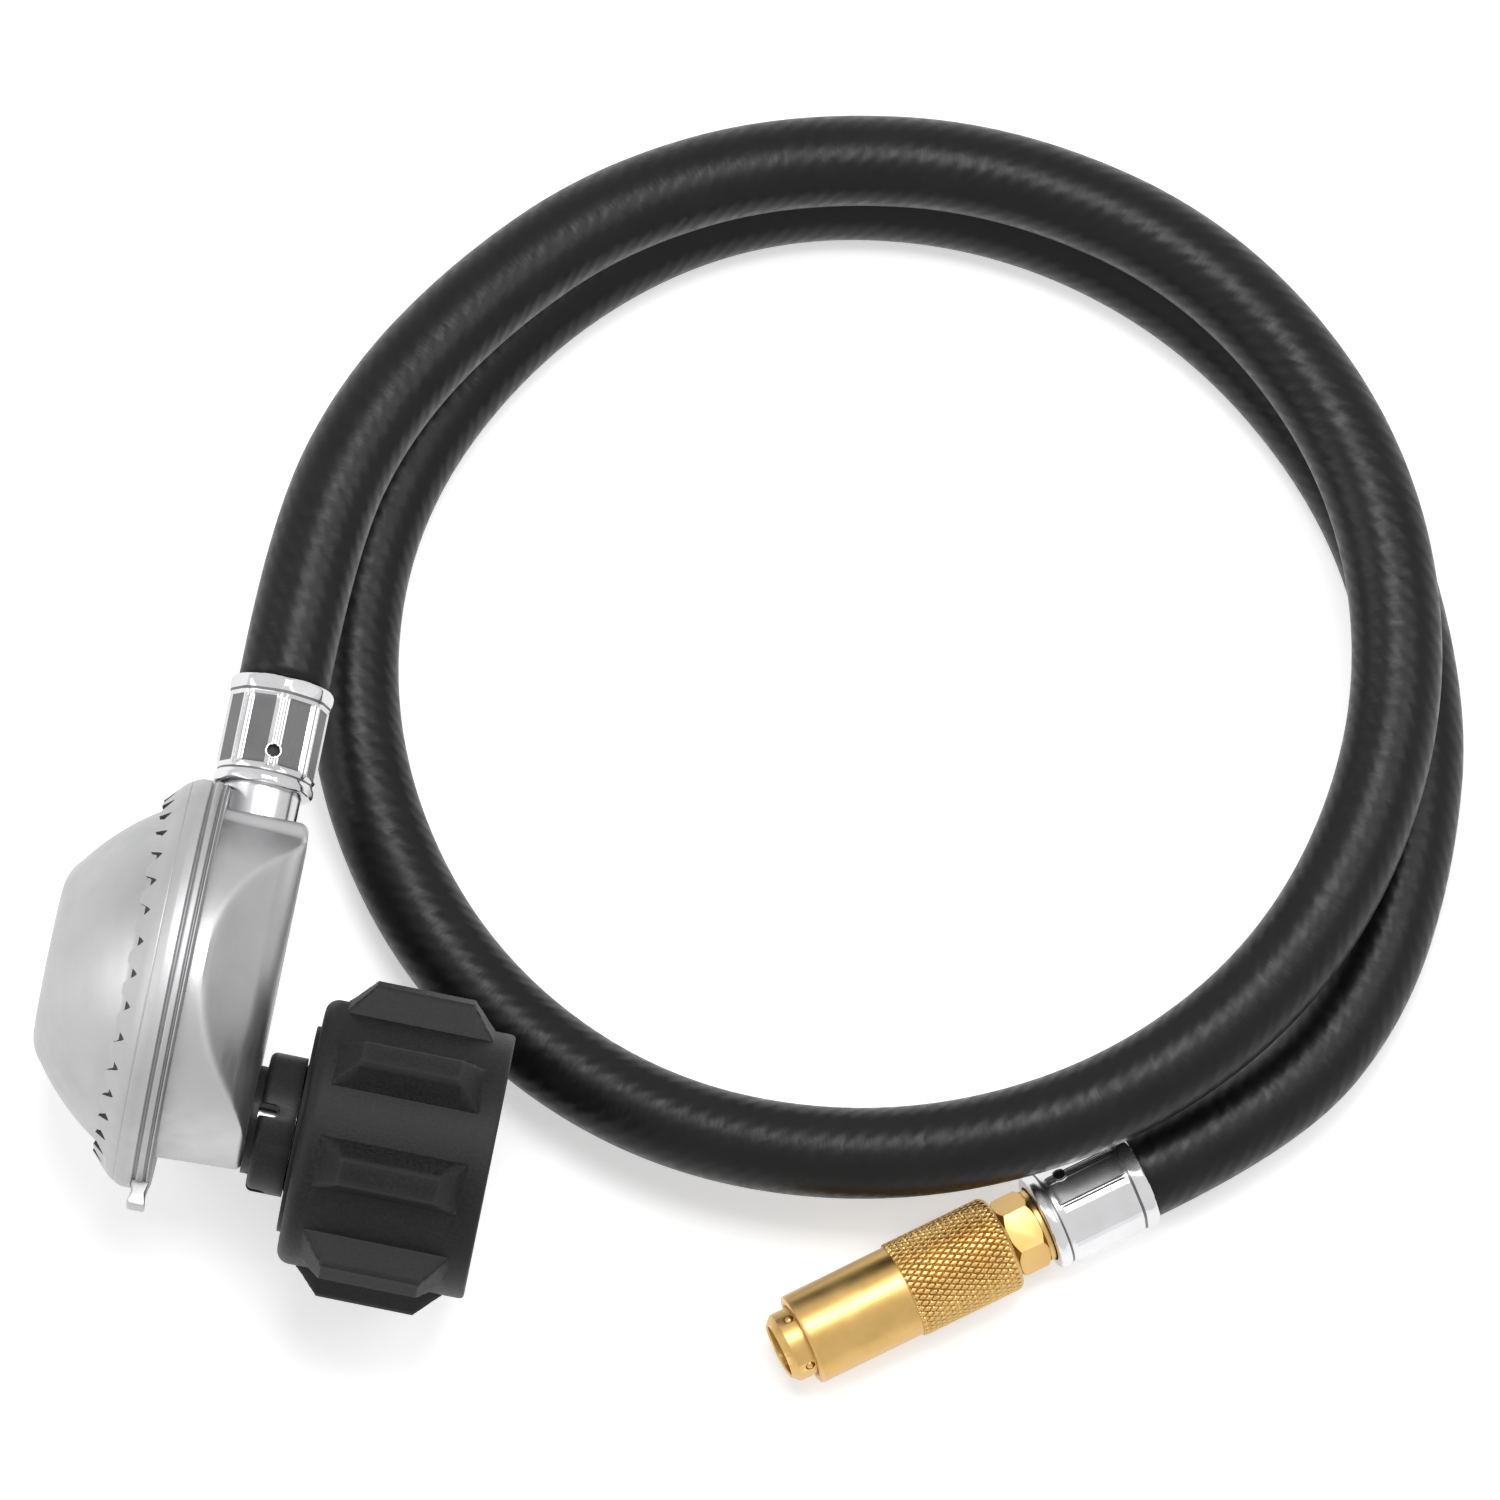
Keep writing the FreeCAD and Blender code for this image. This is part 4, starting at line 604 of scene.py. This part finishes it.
def make_hose():
    """Tube along the route and a little way into both ferrules. Its UV map runs in metres along it and
    round it. Returns the tube and the route."""
    route = route_line()
    far_axis = Vector((math.cos(COUPLER_TURN), math.sin(COUPLER_TURN), 0))
    line = [HOSE_START - Vector((0, INSIDE_FERRULE, 0)), *route, COUPLER_PLACE + far_axis * INSIDE_FERRULE]
    built = bmesh.new()
    uv = built.loops.layers.uv.new("Route")
    rings = []
    lengths = [0.0]
    for index, place in enumerate(line):
        before, after = line[max(index - 1, 0)], line[min(index + 1, len(line) - 1)]
        ahead = (after - before).normalized()
        side = ahead.cross(Vector((0, 0, 1))).normalized()
        up = side.cross(ahead)
        ring = []
        for k in range(HOSE_SIDES):
            angle = 2 * math.pi * k / HOSE_SIDES
            offset = (side * math.sin(angle) - up * math.cos(angle)) * HOSE_DIAMETER / 2
            ring.append(built.verts.new(place + offset))
        rings.append(ring)
        if index:
            lengths.append(lengths[-1] + (place - line[index - 1]).length)
    girth = math.pi * HOSE_DIAMETER
    for row in range(len(rings) - 1):
        for k in range(HOSE_SIDES):
            after = (k + 1) % HOSE_SIDES
            low, high = rings[row], rings[row + 1]
            face = built.faces.new((low[k], low[after], high[after], high[k]))
            face.smooth = True
            corners = ((row, k), (row, k + 1), (row + 1, k + 1), (row + 1, k))
            for loop, (r, c) in zip(face.loops, corners):
                loop[uv].uv = (lengths[r], girth * c / HOSE_SIDES)
    built.faces.new(rings[0])
    built.faces.new(rings[-1][::-1])
    bmesh.ops.recalc_face_normals(built, faces=built.faces)
    mesh = bpy.data.meshes.new("hose_cover")
    built.to_mesh(mesh)
    built.free()
    hose = show("hose_cover", mesh, STATIC, "hose_rubber", "hose")
    return hose, route


hose, hose_line = make_hose()


# ---------------------------------------------------------------- regulator

# Places along the regulator's axis, from the face of the cover, and radii, in millimetres
SHOULDER = 15.2
RIM_FRONT = 16.7
RIM_BACK = 25.2
FLANGE_BACK = 24.0
BODY_BACK = 40.1
RIM_RADIUS = 36.2
CLAMP_RADIUS = 33.9
BASE_RADIUS = 29.8
BOWL_RADIUS = 30.1
TOOTH_COUNT = 36
TOOTH_DEPTH = 2.4
regulator_place = Matrix.Translation((COVER_FRONT, AXIS.y, AXIS.z))


def make_cover():
    """Domed cover: nearly flat face, rounded edge and long shoulder down to the rim, with a vent in its
    underside. What lies under the rim's teeth is painted dark, as shade in the pockets between the teeth."""
    vent_x, vent_radius = 8.75, 1.8
    lip = CLAMP_RADIUS - 0.1
    outline = [(0, 0.4), (0.008, 4.0), (0.03, 8.0), (0.06, 11.5), (0.08, 12.6)]
    outline += arc((0.1, 13.0), (0.75, 15.65), (2.3, 17.9), 8)
    outline += arc((2.3, 17.9), (8.15, 24.5), (SHOULDER, BASE_RADIUS), 18)
    outline += [(SHOULDER + 0.2, BASE_RADIUS + 0.4), (19.0, lip), (20.9, lip)]
    outline += [(20.9, 28.4), (16.4, 28.0), (9.3, 23.0), (3.6, 16.6), (1.8, 12.2), (1.8, 0.01)]
    mesh = grid_mesh("cover_shell", turn(outline, even_angles(144)), regulator_place, angle=50)
    vent_place = regulator_place @ Matrix.Translation((vent_x * MM, 0, 0))
    mesh = cut(mesh, drum(vent_place, vent_radius, -30.0, -16.0), "cover_shell")
    show("cover_shell", mesh, STATIC, "cast_cover", "cover")
    mesh.materials.append(materials["seam_painted_shade"])
    # Painted shade: faces behind the shoulder, seen only between the rim's teeth, get the dark seam
    # material
    back = regulator_place.inverted()
    for face in mesh.polygons:
        if (back @ face.center).x > (SHOULDER + 0.25) * MM:
            face.material_index = 1


def make_rim():
    """Rolled rim: two fine grooves near its back, a rounded front with a faint crease, and a lip of pointed
    teeth on the cover. Painted shade darkens the grooves and the faces under the lip."""
    groove = RIM_RADIUS - 0.45
    bore = BOWL_RADIUS + 0.15
    crease_x, crease_depth, crease_width, crease_least_radius = 18.8, 0.14, 0.11, 34.5
    face_start = RIM_BACK - 4.7
    rolled = [
        (FLANGE_BACK, CLAMP_RADIUS - 0.05), (FLANGE_BACK, bore), (RIM_BACK, bore),
        (RIM_BACK, RIM_RADIUS - 0.6), (RIM_BACK - 0.6, RIM_RADIUS - 0.05), (RIM_BACK - 0.85, groove),
        (RIM_BACK - 1.15, groove), (RIM_BACK - 1.4, RIM_RADIUS), (RIM_BACK - 2.3, RIM_RADIUS),
        (RIM_BACK - 2.6, groove), (RIM_BACK - 3.0, groove), (RIM_BACK - 3.3, RIM_RADIUS),
    ]
    rolled = soften(rolled, 0.16, 3, closed=False)
    front = [(face_start, RIM_RADIUS)]
    front += arc((face_start, RIM_RADIUS), (18.4, 35.3), (RIM_FRONT, RIM_RADIUS - 2.4), 40)
    lip = [(RIM_FRONT - 0.02 - TOOTH_DEPTH * t, 33.8 - 2.6 * t) for t in (0.25, 0.5, 0.75, 0.95, 1.0)]
    under = [(RIM_FRONT - TOOTH_DEPTH + 0.2, 30.55), (15.7, 30.95), (18.4, 33.6)]
    outline = rolled + front + lip + under
    first_lip = len(rolled) + len(front)
    last_lip = first_lip + len(lip)

    def teeth(x, radius, angle):
        share = (angle * TOOTH_COUNT / (2 * math.pi)) % 1.0
        wave = 1 - np.abs(2 * share - 1)
        depth = 0.1 + 0.9 * smooth_step(wave, -0.1, 0.75)
        crease = crease_depth * np.exp(-((x - crease_x) / crease_width) ** 2)
        radius = radius - crease * (radius > crease_least_radius)
        start_x, start_r = outline[first_lip - 1]
        rows = np.arange(len(outline))[:, None]
        held = np.where((rows >= first_lip) & (rows <= last_lip), depth, 1.0)
        return start_x + (x - start_x) * held, start_r + (radius - start_r) * held

    grid = turn(outline, even_angles(TOOTH_COUNT * 14), teeth)
    mesh = grid_mesh("crimped_rim", grid, regulator_place, ring=True, angle=48)
    show("crimped_rim", mesh, STATIC, "cast_rim", "crimp_ring")
    mesh.materials.append(materials["seam_painted_shade"])
    mesh.materials.append(materials["groove_painted_shade"])
    back = regulator_place.inverted()
    for face in mesh.polygons:
        spot = back @ face.center / MM
        radius = math.hypot(spot.y, spot.z)
        outward = (face.normal.y * spot.y + face.normal.z * spot.z) / radius
        # Faces near the front that turn inwards, under the lip, get painted shade: a painted shadow below
        # the teeth
        if spot.x < 19 and outward < 0.25:
            face.material_index = 1
        # Faces inside the two grooves near the back get painted shade
        elif spot.x > RIM_BACK - 4 and groove - 0.1 < radius < RIM_RADIUS - 0.25:
            face.material_index = 2


def make_rim_lug():
    """Lug under the rim, with a waist on each side and rounded ends."""
    front, back = RIM_BACK - 3.3, RIM_BACK
    root, tip = -(RIM_RADIUS - 0.8), -(RIM_RADIUS + 3.9)
    waist = (root + tip) / 2
    outline = [(front, root), (front + 0.45, waist), (front, tip + 0.5), (front + 0.3, tip),
               (back - 0.2, tip), (back, tip + 0.4), (back - 0.3, waist), (back, root)]
    outline = soften(outline, 0.3, 3)
    built = bmesh.new()
    rows = []
    for z, inset in ((-3.0, 0.35), (-2.75, 0.1), (-2.4, 0.0), (2.4, 0.0), (2.75, 0.1), (3.0, 0.35)):
        centre = Vector(((front + back) / 2, (root + tip) / 2))
        row = []
        for x, y in outline:
            out = Vector((x, y)) - centre
            shrunk = centre + out * (1 - inset / out.length)
            row.append(built.verts.new((shrunk.x * MM, shrunk.y * MM, z * MM)))
        rows.append(row)
    for low, high in zip(rows, rows[1:]):
        for k in range(len(outline)):
            after = (k + 1) % len(outline)
            built.faces.new((low[k], low[after], high[after], high[k]))
    built.faces.new(rows[0][::-1])
    built.faces.new(rows[-1])
    bmesh.ops.recalc_face_normals(built, faces=built.faces)
    mesh = bpy.data.meshes.new("rim_lug")
    built.to_mesh(mesh)
    built.free()
    mesh.transform(regulator_place)
    shade(mesh, 45)
    show("rim_lug", mesh, STATIC, "cast_rim")


def make_body():
    """Cast bowl: round at the rim, with two flanks that slope back to a straight bar, and a boss for the
    outlet. Each row is a place and the height at which the flanks cut it off."""
    slope_start = FLANGE_BACK + 3.4
    flank = [(slope_start, BOWL_RADIUS + 1.0)]
    flank += arc((slope_start, BOWL_RADIUS), (BODY_BACK - 7.4, 23.8), (BODY_BACK - 3.4, 19.5), 22)
    flank += arc((BODY_BACK - 3.4, 19.5), (BODY_BACK - 0.9, 15.1), (BODY_BACK, 9.0), 22)
    wide = 40.0
    rows = [(FLANGE_BACK, wide), (RIM_BACK - 0.2, wide), (RIM_BACK + 0.6, wide), (slope_start - 0.6, 36.0)]
    rows += flank
    draft, bowl_round, boss_round = 0.7, 1.2, 1.8
    boss_height, boss_half_width = 29.4, 9.0
    x = np.array([row[0] for row in rows])[:, None]
    limit = np.array([row[1] for row in rows])[:, None]
    around = even_angles(360)[None, :]
    bowl = BOWL_RADIUS - draft * (x - FLANGE_BACK) / (BODY_BACK - FLANGE_BACK)
    past = (x - (BODY_BACK - bowl_round)).clip(0) / bowl_round
    bowl = bowl - bowl_round * (1 - np.sqrt(np.clip(1 - past ** 2, 0, 1)))
    across = np.abs(np.sin(around)).clip(1e-3)
    along = np.cos(around).clip(1e-3)
    radius = smooth_min(bowl, limit / across, 1.1)
    past = (x - (BODY_BACK - boss_round)).clip(0)
    boss = boss_height + np.sqrt(np.clip(boss_round ** 2 - past ** 2, 0, None))
    outlet_side = np.cos(around) > 0.3
    boss_radius = np.where(outlet_side, smooth_min(boss / along, boss_half_width / across, 8.0), 0.0)
    radius = smooth_max(radius, boss_radius, 2.6)
    radius = np.where(outlet_side, np.minimum(radius, np.maximum(boss / along, bowl)), radius)
    xs = np.broadcast_to(x, radius.shape)
    grid = np.stack([xs, radius * np.cos(around), radius * np.sin(around)], axis=-1)
    mesh = grid_mesh("body_casting", grid, regulator_place, angle=40)
    show("body_casting", mesh, STATIC, "cast_body", "regulator_body")


make_cover()
make_rim()
make_rim_lug()
make_body()
softened("thermal_bushing", 0.25)


# ---------------------------------------------------------------- nut

def make_nut():
    """Moulded nut: shouldered drum with eight bevelled grip pads, a parting line and a coarse thread in
    its bore. Its outline runs from the back to the mouth and returns through the bore."""
    length, radius, bore = 34.25, 23.4, 15.7
    ring_radius, ring_length, floor, back_bore = 18.2, 0.8, 4.0, 6.8
    pads, pad_top, pad_centre = 8, 28.15, (ring_length + length) / 2
    top_half_length, top_half_width = 8.6, 2.3
    end_slope, side_slope = 5.75 / 4.95, 2.55 / 5.75
    pitch, thread_depth = 5.08, 1.1
    seam_height, seam_width = 0.03, 0.12
    shoulder_round = 2.4
    shell = [(-0.25, back_bore), (-0.25, 11.2), (0, 11.4), (0, 13.0), (0.2, 13.2), (0.2, 14.6), (0, 14.8)]
    ring = [(0, back_bore), (0, ring_radius), (ring_length, ring_radius)]
    shell += soften(ring, 0.25, 2, closed=False)[1:] + [(ring_length, radius - shoulder_round)]
    shell += arc(shell[-1], (1.4, radius - 0.8), (ring_length + shoulder_round, radius), 6)
    stations = sorted({round(float(s), 3) for s in np.concatenate([
        np.linspace(3.6, 31.6, 29),
        pad_centre + np.array([-13, -12.7, -12.4, -9.0, -8.6, -8.2, 8.2, 8.6, 9.0, 12.4, 12.7, 13]),
        pad_centre + np.array([-0.25, -0.08, 0.08, 0.25]),
    ])})
    shell += [(s, radius) for s in stations]
    shell += [(length - 0.8, radius), (length - 0.25, radius - 0.18), (length - 0.05, radius - 0.5),
              (length, radius - 0.9), (length, 20.0), (length, bore + 1.3), (length - 0.2, bore + 0.9)]
    first_thread = len(shell)
    threads = np.linspace(length - 1.2, floor + 1.5, 84)
    shell += [(float(s), bore) for s in threads]
    last_thread = len(shell) - 1
    shell += [(floor, bore - 0.2), (floor, back_bore)]
    sector = 360 / pads
    half = [0, 2, 4, 5.2, 5.7, 6.1, 7, 8.2, 9.4, 10.3, 10.9, 11.4, 12.4, 14.5, 17, 19.8]
    one = [-a for a in half[:0:-1]] + half + [sector / 2]
    angles = [a + sector / 2 + sector * k for k in range(pads) for a in one]
    angles = np.radians(np.sort(np.array(angles) % 360))
    rows = np.arange(len(shell))[:, None]

    def pattern(x, r, angle):
        delta = np.radians(np.abs(np.degrees(angle) % sector - sector / 2))
        drop = (np.abs(x - pad_centre) - top_half_length).clip(0) * end_slope
        top = (pad_top - drop) / np.cos(delta)
        side = (top_half_width + pad_top * side_slope) / (np.sin(delta) + side_slope * np.cos(delta))
        pad = smooth_min(top, side, 0.5)
        outer = (x > 2.5) & (x < 32.0) & (r > 22)
        raised = smooth_max(r, pad, 0.6)
        raised = np.where(raised - r < 0.16, r, raised)
        seam = seam_height * np.exp(-((x - pad_centre) / seam_width) ** 2)
        r = np.where(outer, raised + seam, r)
        phase = (x / pitch + angle / (2 * math.pi)) % 1.0
        wave = np.clip((0.5 - np.abs(phase - 0.5)) * 5.0 - 0.75, 0, 1)
        in_thread = (rows >= first_thread) & (rows <= last_thread)
        fade = smooth_step(x, floor + 1.0, floor + 4.0)
        return x, np.where(in_thread, r + thread_depth * wave * fade, r)

    grid = turn(shell, angles, pattern)
    place = Matrix.Translation((NUT_BACK, INLET_Y, AXIS.z))
    mesh = grid_mesh("grip_nut", grid, place, ring=True, angle=30)
    show("grip_nut", mesh, "nut", "nut_plastic", "cylinder_nut")


make_nut()


# ---------------------------------------------------------------- ferrules

# Lengths in millimetres. Each ferrule starts a little way from the CAD's ferrule end
FERRULE_FLATS = 8
FERRULE_LENGTH = 19.4
NEAR_START = 2.2
NEAR_ROLL = math.radians(-27.2)
FAR_START = 1.2
FAR_ROLL = math.radians(15.5)
FAR_CRISPNESS = 0.45


def make_ferrule(name, node, place, crispness):
    """Crimped ferrule: eight-sided rolled lips, sunk brushed panels, a double line on each ridge between
    them and an inspection hole. At a crispness of 1 its panels are sharp and painted dark, as a dark
    reflection on brushed metal, and below that they fade into plain sides. A band beside each lip is
    painted dark the same way. Returns its pieces: the ferrule, the hole's rim and the hose's squeezed end."""
    length = FERRULE_LENGTH
    mouth, lip, body_radius, side, floor = 9.2, 8.95, 8.85, 8.65, 8.2
    sector = 2 * math.pi / FERRULE_FLATS
    ridge_radius, line_height, line_away, line_width = 8.6, 0.24, 0.5, 0.26
    hole_radius, hole_from_mouth, hole_rim = 1.1, 6.0, 8.66
    hose_bore, hose_squeezed = 4.75, 7.45
    outline = [(0.0, 8.05), (0.0, 8.4)] + arc((0.0, 8.4), (0.234, 8.966), (0.8, mouth), 5)
    outline += [(1.5, mouth), (2.0, 9.12), (2.5, 8.98), (3.0, 8.88)]
    outline += [(float(s), body_radius) for s in np.linspace(3.3, length - 3.3, 40)]
    outline += [(length - 3.0, 8.6), (length - 2.6, 8.5), (length - 2.2, 8.55), (length - 1.7, lip - 0.1),
                (length - 1.3, lip), (length - 0.9, lip)]
    outline += arc((length - 0.9, lip), (length - 0.25, 8.7), (length, 8.15), 5)
    outline += [(length, 7.1), (length - 0.8, 7.05), (length - 0.8, 7.6), (1.6, 7.6), (1.0, 8.05)]

    def from_ridge(angle):
        delta = (angle + sector / 2) % sector - sector / 2
        return delta, (sector / 2 - np.abs(delta)) * body_radius

    def press(x, radius, angle):
        delta, away = from_ridge(angle)
        ridge = ridge_radius + line_height * np.exp(-((away - line_away) / line_width) ** 2)
        sunk = smooth_step(away, 1.05, 1.4)
        pressed = ridge * (1 - sunk) + floor / np.cos(delta) * sunk
        pressed = side / np.cos(delta) * (1 - crispness) + pressed * crispness
        inside = smooth_step(x, 2.9, 3.9) * (1 - smooth_step(x, length - 3.9, length - 2.9))
        outer = radius > 8.1
        eight_sided = smooth_min(radius, side / np.cos(delta), 0.12)
        return x, np.where(outer & (x > 0), eight_sided * (1 - inside) + pressed * inside, radius)

    spots = np.array([0, 3, 6, 9, 11, 12.4, 13.2, 13.6, 14, 14.4, 14.8, 15.2, 15.6, 16, 16.6, 17.4, 18.2,
                      18.8, 19.3, 19.8, 20.4, 21, 21.6, 22.1])
    flat = 360 / FERRULE_FLATS
    one = np.concatenate([-spots[:0:-1], spots, [flat / 2]])
    angles = np.array([a + flat * k for k in range(FERRULE_FLATS) for a in one]) % 360
    angles = np.radians(np.sort(angles))
    mesh = grid_mesh(name, turn(outline, angles, press), place, ring=True, angle=45)
    hole = place @ Matrix.Rotation(math.pi / FERRULE_FLATS, 4, "X")
    hole = hole @ Matrix.Translation(((length - hole_from_mouth) * MM, 0, 0))
    mesh = cut(mesh, drum(hole, hole_radius, 7.4, 10.0), name)
    ferrule = show(name, mesh, STATIC, "chrome_ferrule", node)
    if crispness < 1:
        mesh.materials[0] = materials["satin_ferrule"]
    mesh.materials.append(materials["brushed_panel_painted_dark"])
    back = place.inverted()
    for face in mesh.polygons:
        spot = back @ face.center / MM
        away = from_ridge(math.atan2(spot.y, spot.z))[1]
        # Painted reflection: the sunk panels of a crisp ferrule and a band beside each lip get the dark
        # brushed material
        sunk = 3.5 < spot.x < length - 3.5 and away > 1.3
        groove = min(abs(spot.x - 2.75), abs(length - 2.45 - spot.x)) < 0.3
        if math.hypot(spot.y, spot.z) > 8.0 and (groove or (sunk and crispness == 1)):
            face.material_index = 1
    rim = [(hole_radius + 0.22 * (1 + math.cos(a)), hole_rim + 0.2 * math.sin(a)) for a in even_angles(10)]
    ring = np.array([[(r * math.cos(a), r * math.sin(a), h) for a in even_angles(36)] for r, h in rim])
    collar = grid_mesh(name + "_hole_rim", ring, hole, ring=True)
    collar = show(name + "_hole_rim", collar, STATIC, "chrome_ferrule")
    squeezed = [(0.5, hose_bore), (0.5, hose_squeezed), (length - 0.9, hose_squeezed),
                (length - 0.9, hose_bore)]
    rubber = grid_mesh(name + "_hose_end", turn(squeezed, even_angles(64)), place, ring=True)
    rubber = show(name + "_hose_end", rubber, STATIC, "soft_rubber")
    return ferrule, collar, rubber


near_place = Matrix.Translation(HOSE_START) @ Matrix.Rotation(-math.pi / 2, 4, "Z")
near_place = near_place @ Matrix.Rotation(NEAR_ROLL, 4, "X") @ Matrix.Translation((NEAR_START * MM, 0, 0))
make_ferrule("near_ferrule", "regulator_ferrule", near_place, 1)
far_place = on_coupler(FAR_START * MM, FAR_ROLL)
far_pieces = make_ferrule("far_ferrule", "coupler_ferrule", far_place, FAR_CRISPNESS)


# ---------------------------------------------------------------- springs

def make_coil(node):
    """Spring copied from its CAD node, with a mesh of its own."""
    mesh = frame["nodes"][node].data.copy()
    mesh.transform(frame["nodes"][node].matrix_world)
    mesh.materials.clear()
    coil = show(node + "_coil", mesh, STATIC, slots[node], node)
    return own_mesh(coil)


make_coil("main_spring")
make_coil("flow_spring")
poppet_coil = make_coil("poppet_spring")


# ---------------------------------------------------------------- coupler

# Places in millimetres. The sleeve starts this far from the hose's end
SLEEVE_START = 27.75
SLEEVE_LENGTH = 39.9
KNURL_LENGTH = 19.9


def make_sleeve():
    """Sliding sleeve: diamond knurl behind, its grooves darkened with painted shade, plain turned skirt in
    front.
    """
    knurl, skirt, bore, guide = 8.85, 8.4, 6.5, 7.15
    count, pitch, depth = 44, 2.15, 0.42
    rear = [(0.0, guide), (0.0, 7.45)] + arc((0.0, 7.45), (0.4, 8.45), (1.4, knurl), 7)
    knurled = [(float(s), knurl) for s in np.arange(1.6, KNURL_LENGTH - 0.3, 0.17)]
    step = [(KNURL_LENGTH - 0.2, knurl), (KNURL_LENGTH, knurl - 0.2), (KNURL_LENGTH + 0.02, skirt)]
    plain = [(float(s), skirt) for s in np.linspace(KNURL_LENGTH + 0.4, SLEEVE_LENGTH - 0.9, 12)]
    front = [(SLEEVE_LENGTH - 0.5, skirt), (SLEEVE_LENGTH - 0.15, skirt - 0.12),
             (SLEEVE_LENGTH, skirt - 0.5), (SLEEVE_LENGTH, bore + 0.5), (SLEEVE_LENGTH - 0.7, bore),
             (27.2, bore), (27.0, guide)]
    outline = rear + knurled + step + plain + front

    def diamonds(x, radius, angle):
        one = (angle * count / (2 * math.pi) + x / pitch) % 1.0
        two = (angle * count / (2 * math.pi) - x / pitch) % 1.0
        ridge = np.minimum(1 - np.abs(2 * one - 1), 1 - np.abs(2 * two - 1))
        height = np.clip(ridge * 2.2, 0, 0.8) / 0.8
        on_knurl = (radius > 8.0) & (x < KNURL_LENGTH - 0.1)
        fade = smooth_step(x, 0.2, 1.0)
        return x, np.where(on_knurl, radius - depth * (1 - height) * fade, radius)

    grid = turn(outline, even_angles(count * 9), diamonds)
    place = on_coupler(SLEEVE_START * MM)
    mesh = grid_mesh("knurled_sleeve", grid, place, ring=True, angle=40)
    sleeve = show("knurled_sleeve", mesh, "sleeve", "brass", "coupler_sleeve")
    mesh.materials.append(materials["brass_painted_groove_shade"])
    back = place.inverted()
    # Faces deep in the knurl get the dark brass, as painted shade in its grooves
    for face in mesh.polygons:
        spot = back @ face.center / MM
        low = 8.0 < math.hypot(spot.y, spot.z) < knurl - 0.55 * depth
        if low and 0.8 < spot.x < KNURL_LENGTH - 0.2:
            face.material_index = 1
    return sleeve


sleeve = make_sleeve()
stem = softened("coupler_stem", 0.12)
socket = softened("coupler_socket", 0.1)


# ---------------------------------------------------------------- stage

FLOOR_GLOW = 0.5
ROOM_LIGHT = 0.3


def shows_background(tree):
    """1 for the rays that show the background: camera, glossy and transmission rays."""
    path = tree.nodes.new("ShaderNodeLightPath")
    total = path.outputs["Is Camera Ray"]
    for name in ("Is Glossy Ray", "Is Transmission Ray"):
        adding = tree.nodes.new("ShaderNodeMath")
        adding.operation = "MAXIMUM"
        tree.links.new(total, adding.inputs[0])
        tree.links.new(path.outputs[name], adding.inputs[1])
        total = adding.outputs[0]
    return total


def make_floor():
    """Pale floor just under the object. It glows for the rays that show the background, so it renders
    white with a soft shadow."""
    mesh = bpy.data.meshes.new("floor")
    reach, drop = 6.0, 0.0001
    mesh.from_pydata([(-reach, -reach, 0), (reach, -reach, 0), (reach, reach, 0), (-reach, reach, 0)], [],
                     [(0, 1, 2, 3)])
    floor = bpy.data.objects.new("floor", mesh)
    floor.location.z = cad_box[0].z - drop
    scene.collection.objects.link(floor)
    n = Nodes("floor")
    n.shader.inputs["Base Color"].default_value = (0.9, 0.9, 0.9, 1)
    n.shader.inputs["Roughness"].default_value = 0.9
    n.shader.inputs["Specular IOR Level"].default_value = 0.1
    n.shader.inputs["Emission Color"].default_value = (1, 1, 1, 1)
    seen = n.math("MULTIPLY", shows_background(n.tree), FLOOR_GLOW)
    n.link(seen, n.shader.inputs["Emission Strength"])
    mesh.materials.append(n.material)


def make_light(name, direction, distance, size, radiance):
    """Soft box that shines at the middle of the object from a direction. The radiance is its own
    brightness, whatever its size."""
    width, height = size
    data = bpy.data.lights.new(name, "AREA")
    data.shape = "RECTANGLE"
    data.size = width
    data.size_y = height
    data.energy = radiance * math.pi * width * height
    towards = Vector(direction).normalized()
    lamp = bpy.data.objects.new(name, data)
    lamp.location = VIEW_CENTRE + towards * distance
    lamp.rotation_mode = "QUATERNION"
    lamp.rotation_quaternion = (-towards).to_track_quat("-Z", "Y")
    scene.collection.objects.link(lamp)


def make_world():
    """Grey room, which is a white backdrop to the rays that show the background."""
    world = bpy.data.worlds.new("studio")
    scene.world = world
    world.use_nodes = True
    tree = world.node_tree
    background = tree.nodes["Background"]
    background.inputs["Color"].default_value = (1, 1, 1, 1)
    strength = tree.nodes.new("ShaderNodeMapRange")
    strength.inputs["To Min"].default_value = ROOM_LIGHT
    strength.inputs["To Max"].default_value = 1.0
    tree.links.new(shows_background(tree), strength.inputs["Value"])
    tree.links.new(strength.outputs["Result"], background.inputs["Strength"])


make_floor()
make_world()
make_light("main_box", direction=(-0.04, 0.22, 0.97), distance=1.1, size=(0.5, 0.45), radiance=9.5)
make_light("left_box", direction=(-0.8, -0.15, 0.5), distance=1.2, size=(0.7, 0.7), radiance=2.2)
make_light("right_box", direction=(0.52, 0.2, 0.83), distance=1.2, size=(0.5, 0.5), radiance=3.6)
scene.view_settings.view_transform = "Standard"
